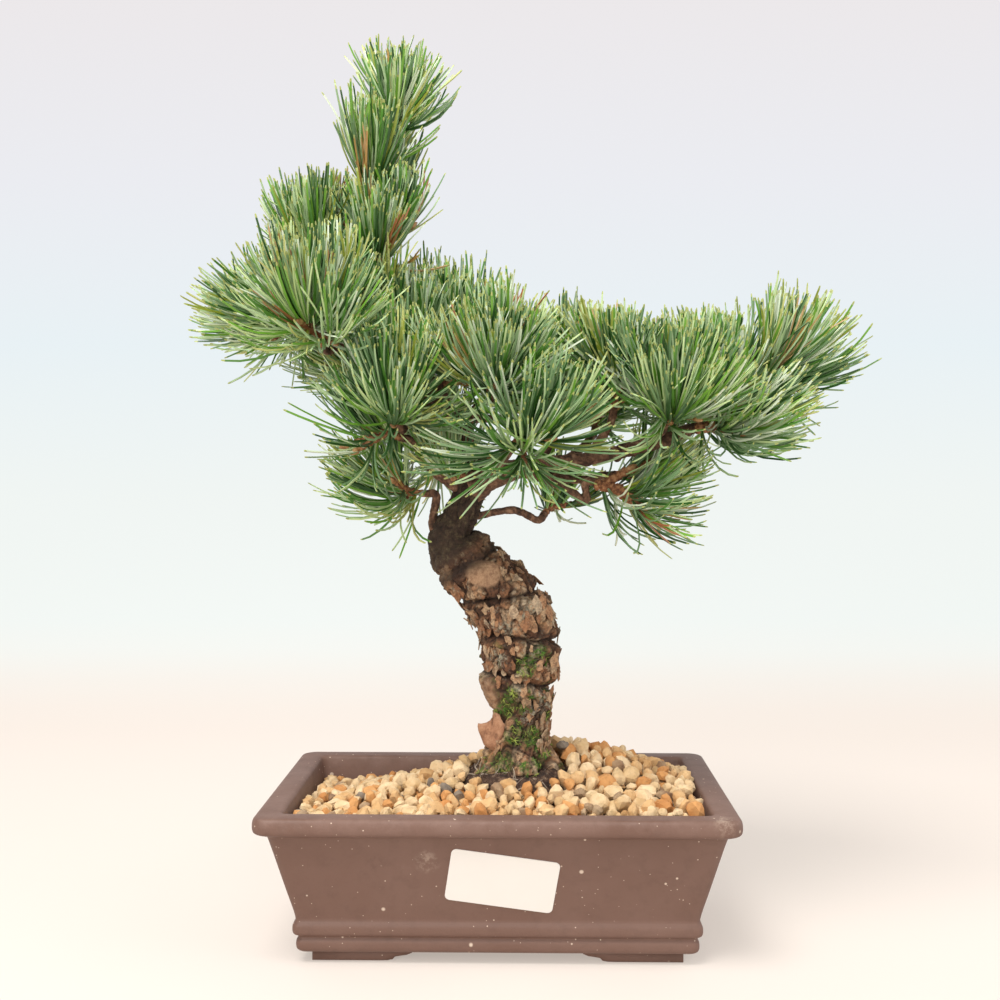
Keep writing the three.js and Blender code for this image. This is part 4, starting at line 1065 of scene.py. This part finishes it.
# Each mass of needles: the limb it grows from, how far along, its bough's radius and bends
# (none where its stem springs from the trunk), its heart, its aim, its needles' length, how
# many degrees its lowest bundles stand off their shoot, and its shoots.
masses = [
    ("apex", "trunk", 1, None, None, (-40, -1, 333.5), (0.35, -0.1, 1), 30, 62, 1),
    ("leader_left", "trunk", 0.88, None, None, (-51, -8, 306), (-0.15, -0.3, 1), 35, 45, 1),
    ("leader_right", "trunk", 0.86, None, None, (-45, 6, 301), (0.4, 0.3, 1), 31, 55, 1),
    ("leader_foot", "trunk", 0.785, None, None, (-44, -10, 284), (0.5, -0.6, 0.6), 30, 65, 2),
    ("top_left", "trunk", 0.77, 2.2, [], (-76, 4, 281), (-0.15, -0.1, 1), 31, 62, 3),
    ("left_tip", "trunk", 0.66, 3, [(-60, -2, 250)], (-91, -6, 251), (-1, -0.1, 0.08), 37, 74, 2),
    ("left_front", "left_tip", 0.45, 1.8, [], (-71, -31, 246), (-0.15, -0.8, 0.6), 37, 100, 2),
    ("left_back", "trunk", 0.7, 2.2, [(-64, 14, 262)], (-88, 31, 262), (-0.4, 0.8, 0.45), 34, 80, 1),
    ("left_inner", "trunk", 0.625, None, None, (-46, -13, 252), (0.2, -0.6, 0.8), 32, 80, 2),
    ("crown_top", "trunk", 0.585, None, None, (-13, 9, 243), (0.35, 0.1, 0.9), 37, 84, 2),
    ("crown_back", "trunk", 0.61, None, None, (-31, 22, 251), (0, 0.5, 0.85), 35, 80, 1),
    ("front_left", "trunk", 0.545, 2.2, [(-33, -15, 216)], (-43, -38, 214), (-0.3, -0.75, 0.55), 35, 98, 2),
    ("low_left_front", "trunk", 0.435, 2.2, [(-27, -8, 188)],
     (-50, -26, 204), (-0.9, -0.5, 0.25), 31, 72, 2),
    ("collar", "trunk", 0.46, None, None, (-21, -19, 188), (-0.45, -0.8, 0.3), 30, 66, 1),
    ("low_left", "trunk", 0.335, 2.2, [(-27, -1, 164)], (-42, -10, 180), (-0.8, -0.4, 0.1), 35, 88, 2),
    ("back_left", "trunk", 0.575, 2.2, [(-42, 20, 229)], (-58, 42, 232), (-0.45, 0.85, 0.3), 36, 84, 2),
    ("back_low", "trunk", 0.475, 2, [(-21, 17, 196)], (-30, 42, 196), (-0.3, 0.95, 0.1), 36, 78, 1),
    ("front_middle", "trunk", 0.49, 2.2, [(-12, -9, 206), (-7, -24, 214)],
     (-2, -40, 225), (0.05, -0.85, 0.5), 33, 96, 2),
    ("front_low", "trunk", 0.44, 2.2, [(0, -22, 190)], (11, -45, 201), (0.15, -1, 0.05), 38, 100, 2),
    ("back_middle", "trunk", 0.5, 2.2, [(-12, 18, 209)], (3, 50, 220), (0.1, 0.85, 0.5), 36, 86, 1),
    ("right_stub", "trunk", 0.45, 4.3,
     [(0, -2, 186.5), (13, -5, 190), (28.7, -8, 191.3), (44, -10, 194), (63, -12, 198.5)],
     (92, -17, 206), (0.95, -0.3, 0.08), 38, 84, 2),
    ("top_middle", "right_stub", 0.3, 2, [(23, 0, 203)], (25, 3, 225), (0, 0.1, 1), 31, 84, 2),
    ("top_right", "right_stub", 0.52, 2, [], (48, -14, 226), (0.15, -0.2, 1), 32, 88, 3),
    ("right_front", "right_stub", 0.7, 2, [], (68, -31, 215), (0.2, -0.8, 0.7), 36, 94, 2),
    ("right_tip", "right_stub", 0.83, 2.4, [(86, -7, 209)], (113, 0, 229), (0.85, 0.05, 0.5), 37, 74, 2),
    ("right_top", "right_tip", 0.42, 1.8, [], (92, -12, 225), (0.1, -0.25, 1), 30, 84, 1),
    ("right_back", "right_stub", 0.63, 2.2, [(68, 6, 205)], (83, 31, 219), (0.35, 0.8, 0.5), 36, 84, 1),
    ("back_right", "right_stub", 0.42, 2, [(36, 12, 199)], (43, 44, 213), (0.15, 0.85, 0.5), 36, 86, 2),
    ("low_right", "right_stub", 0.2, 2.3, [(25, -9, 182), (35, -11, 176)],
     (52, -16, 179), (0.95, -0.2, -0.25), 37, 78, 2),
    ("low_right_back", "right_stub", 0.24, 1.9, [(32, 2, 184)],
     (61, 13, 187), (0.95, 0.35, 0.05), 36, 70, 1),
    ("under", "trunk", 0.395, 1.5, [(6, 1, 171.5)], (25, 21, 176), (0.5, 0.75, 0.5), 20, 66, 1),
]


def trunk_girth(share):
    """The trunk's radius with its bark, at shares of its length."""
    return np.interp(trunk_curve.at(share)[..., 2], *np.array(trunk_radius).T) * 1.08


limbs = {"trunk": (trunk_curve, trunk_girth)}


def unit(vector):
    vector = np.asarray(vector, float)
    return vector / np.linalg.norm(vector, axis=-1, keepdims=True)


twig_bark = new_material("scaly_bark", (0.2, 0.1, 0.06), 0.88)
twig_colour = mottled(twig_bark, (320, 6, 0.7), [
    (0.34, (0.05, 0.026, 0.017)), (0.5, (0.19, 0.095, 0.055)), (0.62, (0.33, 0.185, 0.11)),
    (0.75, (0.42, 0.3, 0.2)),
])
twig_cracks = times(twig_bark, tone_of(twig_bark, "shade"), 0.8)
set_shader(twig_bark, "Base Color", mixed(twig_bark, twig_cracks, twig_colour, (0.03, 0.017, 0.011)))
bumped(twig_bark, (1200, 5, 0.7), 0.8, 0.0006)

for name, parent, share, radius, bends, heart, aim, reach, widest, shoots in masses:
    if bends is None:
        continue
    tip = np.array(heart) - unit(aim) * SHOOT_LENGTH
    start = limbs[parent][0].at(share)
    curve = Curve([start, *bends, tip - unit(aim) * limb["lead"], tip])
    limbs[name] = (curve, lambda share, radius=radius: radius + (limb["tip_radius"] - radius) * share ** 0.8)
    steps = max(12, int(curve.length / limb["ring_gap"]))
    shares = np.linspace(0, 1, steps)
    collar_share, collar_length = collars.get(name, (usual_collar[0], usual_collar[1] * radius))

    def bough_radius_at(shares, middles, out):
        body = limbs[name][1](shares) * (1 + collar_share * np.exp(-shares * curve.length / collar_length))
        surface = middles + out * body[:, None]
        knots = limb["knots"] * relief(surface, 7, 2, 4.4)
        return body * (1 + knots) + 0.14 * body ** 0.5 * relief(surface, 1.7, 4, 6.1)

    sides = limb["stout_sides"] if radius > limb["stout"] else limb["sides"]
    points, out = tube(curve, shares, sides, bough_radius_at)
    scales, _ = plates(points, 2.6, 2.0)
    points = points - out * (limb["scales"] * min(1, radius / limb["stout"]) * scales)[:, None]
    bough_ends = np.array([curve.at(0.0), curve.at(1.0)])
    bough = mesh_of("limb_" + name, to_frame(np.vstack([points, bough_ends])),
                    capped_faces(steps, sides), [twig_bark])
    add_tone(bough, "shade", np.concatenate([scales, [0, 0]]))
    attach(bough, "root")
    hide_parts("bough_" + name)


# Needles. They stand in bundles of five on short scaly shoots, thick towards a shoot's tip
# round its bud. A needle is three-sided: green outside, silvery on its two inner faces.
golden_turn = math.radians(137.508)
shoot = {"head_radius": 2.3, "radius": 1.4, "side_foot": (0.3, 0.5), "side_lean": (0.45, 0.75),
         "side_fan": 0.85, "side_length": (0.9, 1.2), "finer": 3, "finer_foot": (0.1, 0.75),
         "finer_lean": (0.3, 0.8), "finer_length": (0.75, 1.15), "gap": 0.3, "clear": 0.6, "sides": 7}
bud = {"radius": 1.35, "length": 4.6, "sunk": 0.5, "rings": 7, "sides": 8}
# Masses whose shoots are stout old stubs, covered in orange scales: the shoots' radius.
stubs = {"right_stub": 2.3, "low_right": 2.1, "left_front": 1.8, "front_middle": 1.7}
bundle = {"count": 25, "needles": 5, "head": 15, "tip_lean": 5, "jitter": 8,
          "spread": 7, "spread_play": 2, "turn_play": 0.2, "bow": (0.12, 0.75), "side_bow": 0.4,
          "crossing": 13, "clear": 0.4, "hang": -0.3, "hang_below": 0.6, "hang_bow": (0.8, 1.5)}
# How far a mass's bundles turn up to the light, 0.5 where not given.
rises = {"left_tip": 0.05, "left_back": 0, "left_front": 0.6, "left_inner": 0.6, "front_left": 0.65,
         "front_middle": 0.65, "front_low": 0.45, "right_front": 0.7, "right_stub": 0.25, "low_right": 0.25,
         "low_left": 0.3, "right_tip": 0.3, "right_top": 0.2, "top_middle": 0.2, "top_right": 0.3,
         "top_left": 0.2, "leader_foot": 0.8, "leader_right": 0.7, "apex": 0.12}
# Needles stand along the leader as well: from how far along, and over what length.
brushes = {"apex": (0.94, 17), "leader_right": (0.89, 20), "leader_left": (0.86, 22),
           "leader_foot": (0.8, 24)}
# The share of bundles that is kept in the masses where boughs and sky show between them.
thinned = {"collar": 0.4, "front_low": 0.8, "low_left": 0.65, "under": 0.35, "low_right": 0.42,
           "low_right_back": 0.42, "low_left_front": 0.55, "right_stub": 0.85, "leader_right": 0.75,
           "leader_left": 0.62, "apex": 0.62, "top_left": 0.85, "right_tip": 0.85, "left_tip": 0.85}
# The share of a mass's lower bundles that hang and turn up at their ends, 0.1 where not given.
drooping = {"low_left": 0.4, "low_right": 0.6, "right_stub": 0.6, "low_left_front": 0.4, "left_tip": 0.35,
            "front_low": 0.3, "left_front": 0.35, "right_front": 0.2, "right_tip": 0.25, "back_low": 0.3,
            "front_left": 0.25}
# The crown's clipped outline, as seen from the front in the plane of the trunk: x and height.
# A needle whose outer half would stand out past it is left off.
crown_edge = [
    (-129, 255), (-128, 266), (-118, 272), (-112, 275), (-103, 277), (-99, 278), (-97, 281),
    (-95, 283), (-99, 290), (-97, 296), (-99, 305), (-94, 308), (-89, 309), (-81, 309),
    (-79, 312), (-72, 314), (-68, 316), (-64, 315), (-65, 335), (-66, 343), (-66, 351),
    (-63, 358), (-57, 365), (-51, 366), (-46, 366), (-42, 365), (-33, 362), (-27, 359),
    (-22, 356), (-20, 354), (-14, 350), (-15, 343), (-13, 336), (-18, 330), (-26, 323),
    (-33, 313), (-30, 309), (-27, 299), (-28, 294), (-27, 290), (-30, 286), (-36, 280),
    (-34, 277), (-24, 278), (-14, 278), (-6, 275), (1, 272), (6, 270), (10, 264), (20, 263),
    (30, 262), (38, 259), (48, 256), (54, 255), (68, 254), (76, 261), (87, 260), (94, 257),
    (100, 255), (106, 258), (115, 267), (127, 266), (136, 262), (143, 258), (151, 250),
    (155, 242), (155, 230), (147, 226), (140, 217), (131, 206), (129, 192), (119, 192),
    (110, 190), (97, 185), (86, 188), (86, 181), (84, 174), (85, 164), (83, 157), (76, 156),
    (64, 147), (55, 148), (47, 153), (40, 164), (33, 169), (24, 167), (15, 169), (9, 177),
    (2, 178), (-3, 170), (-10, 158), (-18, 149), (-30, 164), (-38, 160), (-43, 154), (-55, 162),
    (-62, 167), (-70, 171), (-77, 180), (-77, 194), (-79, 201), (-57, 200), (-59, 208),
    (-74, 215), (-90, 217), (-103, 225), (-108, 232), (-120, 237), (-130, 247),
]
edge_play = {"usual": 3.5, "stray": 11, "strays": 0.06}
needle = {"width": 0.94, "depth": 0.6, "lengths": (0.8, 1.08),
          "stops": (0, 0.2, 0.4, 0.6, 0.8, 0.955, 0.987),
          "girths": (0.8, 1, 1, 0.98, 0.92, 0.84, 0.66)}
# The two colours of each sort of bundle, outside and inside, and the share of bundles it has.
needle_sorts = [
    ("leaf_green", (0.07, 0.2, 0.025), (0.4, 0.54, 0.29), 0.33),
    ("bright_green", (0.15, 0.34, 0.035), (0.53, 0.66, 0.32), 0.24),
    ("deep_green", (0.022, 0.08, 0.013), (0.16, 0.28, 0.12), 0.23),
    ("silver_green", (0.2, 0.31, 0.15), (0.64, 0.72, 0.54), 0.12),
    ("yellow_green", (0.26, 0.31, 0.035), (0.48, 0.5, 0.17), 0.06),
    ("old_tan", (0.42, 0.24, 0.07), (0.5, 0.33, 0.15), 0.014),
    ("dead_red", (0.36, 0.12, 0.05), (0.46, 0.2, 0.1), 0.006),
]
needle_tip_colour = (0.38, 0.42, 0.13)
needle_paints = []
for sort_name, outside, inside, _ in needle_sorts:
    for side_name, colour, roughness in (("outside", outside, 0.36), ("inside", inside, 0.55)):
        paint = new_material(f"{sort_name}_{side_name}", colour, roughness)
        bumped(paint, (1500, 2, 0.55), 0.12, 0.0002)
        needle_paints.append(paint)
needle_paints.append(new_material("needle_tip", needle_tip_colour, 0.5))
TIP_KIND = len(needle_paints) - 1


def seeded(seed):
    """The same draws on every run, from 0 to 1."""
    state = seed
    while True:
        state = (state * 48271) % 2147483647
        yield state / 2147483647


def between(pair, draw):
    return pair[0] + (pair[1] - pair[0]) * draw


hearts = np.array([row[5] for row in masses], float)


def foot_of(row):
    """Where a mass's stem starts: past its limb's tip, or on the trunk."""
    _, parent, share, _, bends, heart, aim = row[:7]
    curve = limbs[parent][0]
    if share == 1:
        return curve.at(1.0) + curve.way(1.0) * shoot["gap"]
    if bends is None:
        return curve.at(share)
    return np.array(heart) - unit(aim) * (SHOOT_LENGTH - shoot["gap"])


stretches = []
for curve, radius_at in limbs.values():
    steps = math.ceil(curve.length / 6)
    line = curve.at(np.arange(steps + 1) / steps)
    girth = radius_at(np.arange(steps + 1) / steps)
    for k in range(steps):
        stretches.append((line[k], line[k + 1], max(girth[k], girth[k + 1]), -1))
for own, row in enumerate(masses):
    stretches.append((foot_of(row), hearts[own], shoot["radius"], own))
starts, ends, girths, owners = (np.array(column) for column in zip(*stretches))


def nearest_own(points, own, apart):
    """Whether points are nearer their own heart than any other, by a distance."""
    towards = np.delete(hearts, own, 0) - hearts[own]
    middles = hearts[own] + towards / 2
    past = np.einsum("...kc,kc->...k", points[..., None, :] - middles, unit(towards))
    return (past < -apart).all(-1)


def off_limbs(points, own, clear):
    """Whether points keep clear of every limb and of every other mass's stem."""
    keep = owners != own
    a, b, girth = starts[keep], ends[keep], girths[keep]
    run = b - a
    along = np.clip(((points[..., None, :] - a) * run).sum(-1) / (run * run).sum(-1), 0, 1)
    away = np.linalg.norm(points[..., None, :] - (a + along[..., None] * run), axis=-1)
    return (away > girth + clear).all(-1)


def inside_edge(points, play):
    """Whether points, as seen from the front, lie inside the crown's outline."""
    eye = np.array(lens["place"])
    seen = eye + (points - eye) * (-eye[1] / (points[..., 1:2] - eye[1])) + play[:, None]
    x, z = seen[..., 0], seen[..., 2]
    inside = np.zeros(x.shape, bool)
    for (x1, z1), (x2, z2) in zip(crown_edge, crown_edge[1:] + crown_edge[:1]):
        if z1 != z2:
            crosses = ((z1 > z) != (z2 > z)) & (x < x1 + (z - z1) * (x2 - x1) / (z2 - z1))
            inside ^= crosses
    return inside.all(-1)


def square_to(way):
    up = np.array([1.0, 0, 0]) if abs(way[2]) > 0.95 else np.array([0, 0, 1.0])
    side = unit(np.cross(way, up))
    return side, np.cross(side, way)


def leaning(way, lean, turn):
    side, over = square_to(way)
    return way * math.cos(lean) + (side * math.cos(turn) + over * math.sin(turn)) * math.sin(lean)


def shoots_of(row, own, draws):
    """A mass's shoots as foot, way and length: its stem, its side shoots and finer ones."""
    heart, aim, widest, count = np.array(row[5]), unit(row[6]), row[8], row[9]
    foot = foot_of(row)
    stem = heart - foot
    length = np.linalg.norm(stem)
    shoots = [(foot, stem / length, length, widest)]
    phase = 2 * math.pi * next(draws)
    for k in range(1, count + shoot["finer"]):
        sort = "side" if k < count else "finer"
        start = foot + stem * between(shoot[sort + "_foot"], next(draws))
        lean = math.radians(widest * between(shoot[sort + "_lean"], next(draws)))
        way = leaning(aim, lean, phase + k * golden_turn)
        reach = SHOOT_LENGTH * between(shoot[sort + "_length"], next(draws))
        line = start + way * reach * np.array([[0.4], [0.7], [1]])
        clear, free = shoot["head_radius"] + shoot["gap"], shoot["head_radius"] + shoot["clear"]
        if nearest_own(line, own, clear).all() and off_limbs(line, own, free).all():
            shoots.append((start, way, reach, widest * shoot["side_fan"]))
    if row[0] in brushes:
        share, reach = brushes[row[0]]
        shoots.append((trunk_curve.at(share), trunk_curve.way([share])[0], reach, widest))
    return shoots


def needles_of(shoots, reach, own, rng):
    """The bundles on a mass's shoots, as points of needles, and the sort of each needle."""
    bodies, sorts = [], []
    shares = [sort[-1] for sort in needle_sorts]
    for start, way, length, widest in shoots:
        side, over = square_to(way)
        count = bundle["count"]
        k = np.arange(count)
        place = (k + 0.5) / count
        head = min(bundle["head"], length * 0.92)
        turn = k * golden_turn + rng.uniform(0, 6.28)
        out = side * np.cos(turn)[:, None] + over * np.sin(turn)[:, None]
        lean = np.radians(widest + (bundle["tip_lean"] - widest) * place ** 0.7
                          + rng.normal(0, bundle["jitter"], count))
        hangs = (rng.random(count) < drooping.get(masses[own][0], 0.1)) & (place < bundle["hang_below"])
        axis = way * np.cos(lean)[:, None] + out * np.sin(lean)[:, None]
        rise = rises.get(masses[own][0], 0.5)
        axis = unit(axis + np.where(hangs, bundle["hang"], rise)[:, None] * np.array([0, 0, 1.0]))
        roots = start + way * (length - head * (1 - place))[:, None] + out * shoot["radius"] * 0.8
        sort = rng.choice(len(needle_sorts), count, p=shares)
        kept = rng.random(count) < thinned.get(masses[own][0], 1)
        first = unit(np.cross(axis, rng.normal(size=(count, 3))))
        second = np.cross(axis, first)
        for n in range(bundle["needles"]):
            around = 2 * math.pi * n / bundle["needles"] + rng.normal(0, bundle["turn_play"], count)
            away = first * np.cos(around)[:, None] + second * np.sin(around)[:, None]
            splay = np.radians(np.abs(rng.normal(bundle["spread"], bundle["spread_play"], count)))[:, None]
            run = axis * np.cos(splay) + away * np.sin(splay)
            size = reach * rng.uniform(*needle["lengths"], count)[:, None]
            bend = np.where(hangs, rng.uniform(*bundle["hang_bow"], count),
                            rng.uniform(*bundle["bow"], count))
            bend = np.clip(bend, 0.08, 0.1 + 0.95 * np.arccos(np.clip(run[:, 2], -1, 1)))[:, None, None]
            inward = np.array([0, 0, 1]) + away * rng.normal(0, bundle["side_bow"], count)[:, None]
            inward = unit(inward - run * (inward * run).sum(-1)[:, None])[:, None]
            pivot = np.cross(run[:, None], inward)
            turned = bend * np.array([*needle["stops"], 1.0])[:, None]
            line = run[:, None] * np.sin(turned) + inward * (1 - np.cos(turned))
            line = roots[:, None] + line * size[:, None] / bend
            fine = nearest_own(line[:, 1:], own, -bundle["crossing"]).all(1)
            fine &= off_limbs(line[:, 2:], own, bundle["clear"]).all(1)
            stray = rng.random(count) < edge_play["strays"]
            play = np.where(stray, edge_play["stray"], edge_play["usual"])[:, None]
            play = play * rng.normal(size=(count, 3))
            fine &= kept & inside_edge(line[:, 3:], play)
            sides = [line]
            for square in (away[:, None], unit(np.cross(run, away))[:, None]):
                level = pivot * (pivot * square).sum(-1, keepdims=True)
                sides.append(level + (square - level) * np.cos(turned)
                             + np.cross(pivot, square) * np.sin(turned))
            bodies.append(np.stack(sides, 1)[fine])
            sorts.append(sort[fine])
    return np.concatenate(bodies), np.concatenate(sorts)


def needle_mesh(name, bodies, sorts):
    """Three-sided needles along their lines, in one mesh."""
    lines, away, across = bodies[:, 0], bodies[:, 1], bodies[:, 2]
    girth = (np.array(needle["girths"]) * needle["width"])[None, :, None]
    body, out, side = lines[:, :-1], away[:, :-1], across[:, :-1]
    corners = np.stack([
        body + (out * 0.3 * needle["depth"] + side * 0.5) * girth,
        body + (out * 0.3 * needle["depth"] - side * 0.5) * girth,
        body - out * 0.7 * needle["depth"] * girth,
    ], 2)
    count, rows = len(lines), len(needle["stops"])
    points = np.concatenate([corners.reshape(count, rows * 3, 3), lines[:, -1:]], 1)
    size = rows * 3 + 1
    quads = grid_faces(rows, 3)[:, ::-1]
    tips = np.array([[rows * 3 - 3 + (i + 1) % 3, rows * 3 - 3 + i, rows * 3] for i in range(3)])
    base = np.arange(count)[:, None, None] * size
    side_of = np.tile([0, 1, 1], rows - 1)
    quad_kinds = 2 * sorts[:, None] + side_of
    quad_kinds[:, -3:] = TIP_KIND
    tip_kinds = np.full((count, 3), TIP_KIND)
    return mesh_of(name, to_frame(points.reshape(-1, 3)), [
        (quads[None] + base).reshape(-1, 4), (tips[None] + base).reshape(-1, 3),
    ], needle_paints, np.concatenate([quad_kinds.ravel(), tip_kinds.ravel()]), smooth=False)


def bud_radius_at(shares, middles, out):
    return bud["radius"] * np.sin(math.pi * np.clip(shares, 0.16, 0.985) ** 0.8) ** 0.7


def add_tube(points, faces, curve, shares, sides, radius_at):
    """One more closed tube among the points and faces of a mesh of many."""
    made, _ = tube(curve, shares, sides, radius_at)
    faces += capped_faces(len(shares), sides, sum(len(group) for group in points))
    points.append(np.vstack([made, curve.at([0.0, 1.0])]))


twig_points, twig_faces, bud_points, bud_faces = [], [], [], []
for own, row in enumerate(masses):
    draws = seeded(7919 * (own + 1))
    rng = np.random.default_rng(100 + own)
    shoots = shoots_of(row, own, draws)
    bodies, sorts = needles_of(shoots, row[7], own, rng)
    tuft = needle_mesh("tuft_" + row[0], bodies, sorts)
    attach(tuft, "root")
    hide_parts("needles_" + row[0])
    for start, way, length, _ in shoots:
        rings = max(8, int(length))
        spiral = rng.uniform(0, 6.28)

        def scaly(shares, middles, out):
            ripple = np.sin(shares * rings * 2.1 + np.arctan2(out[:, 1], out[:, 0]) * 3 + spiral)
            return stubs.get(row[0], shoot["radius"]) * (1.05 - 0.25 * shares) * (1 + 0.22 * ripple)

        twig = Curve([start - way * 1.5, start + way * length / 2, start + way * length])
        add_tube(twig_points, twig_faces, twig, np.linspace(0, 1, rings), shoot["sides"], scaly)
        head = Curve([start + way * (length - bud["sunk"]), start + way * (length + bud["length"])])
        add_tube(bud_points, bud_faces, head, np.linspace(0, 1, bud["rings"]), bud["sides"], bud_radius_at)

bud_scales = new_material("bud_scales", (0.42, 0.22, 0.09), 0.6)
set_shader(bud_scales, "Base Color", mottled(bud_scales, (500, 4, 0.55), [
    (0.35, (0.24, 0.1, 0.035)), (0.6, (0.5, 0.28, 0.12)),
]))
scaly_twig = new_material("shoot_scales", (0.3, 0.13, 0.06), 0.85)
set_shader(scaly_twig, "Base Color", mottled(scaly_twig, (600, 4, 0.55), [
    (0.35, (0.1, 0.04, 0.02)), (0.5, (0.3, 0.12, 0.05)), (0.65, (0.5, 0.26, 0.12)),
]))
all_twigs = mesh_of("shoots", to_frame(np.vstack(twig_points)), twig_faces, [scaly_twig])
all_buds = mesh_of("buds", to_frame(np.vstack(bud_points)), bud_faces, [bud_scales])
for piece in (all_twigs, all_buds):
    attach(piece, "root")
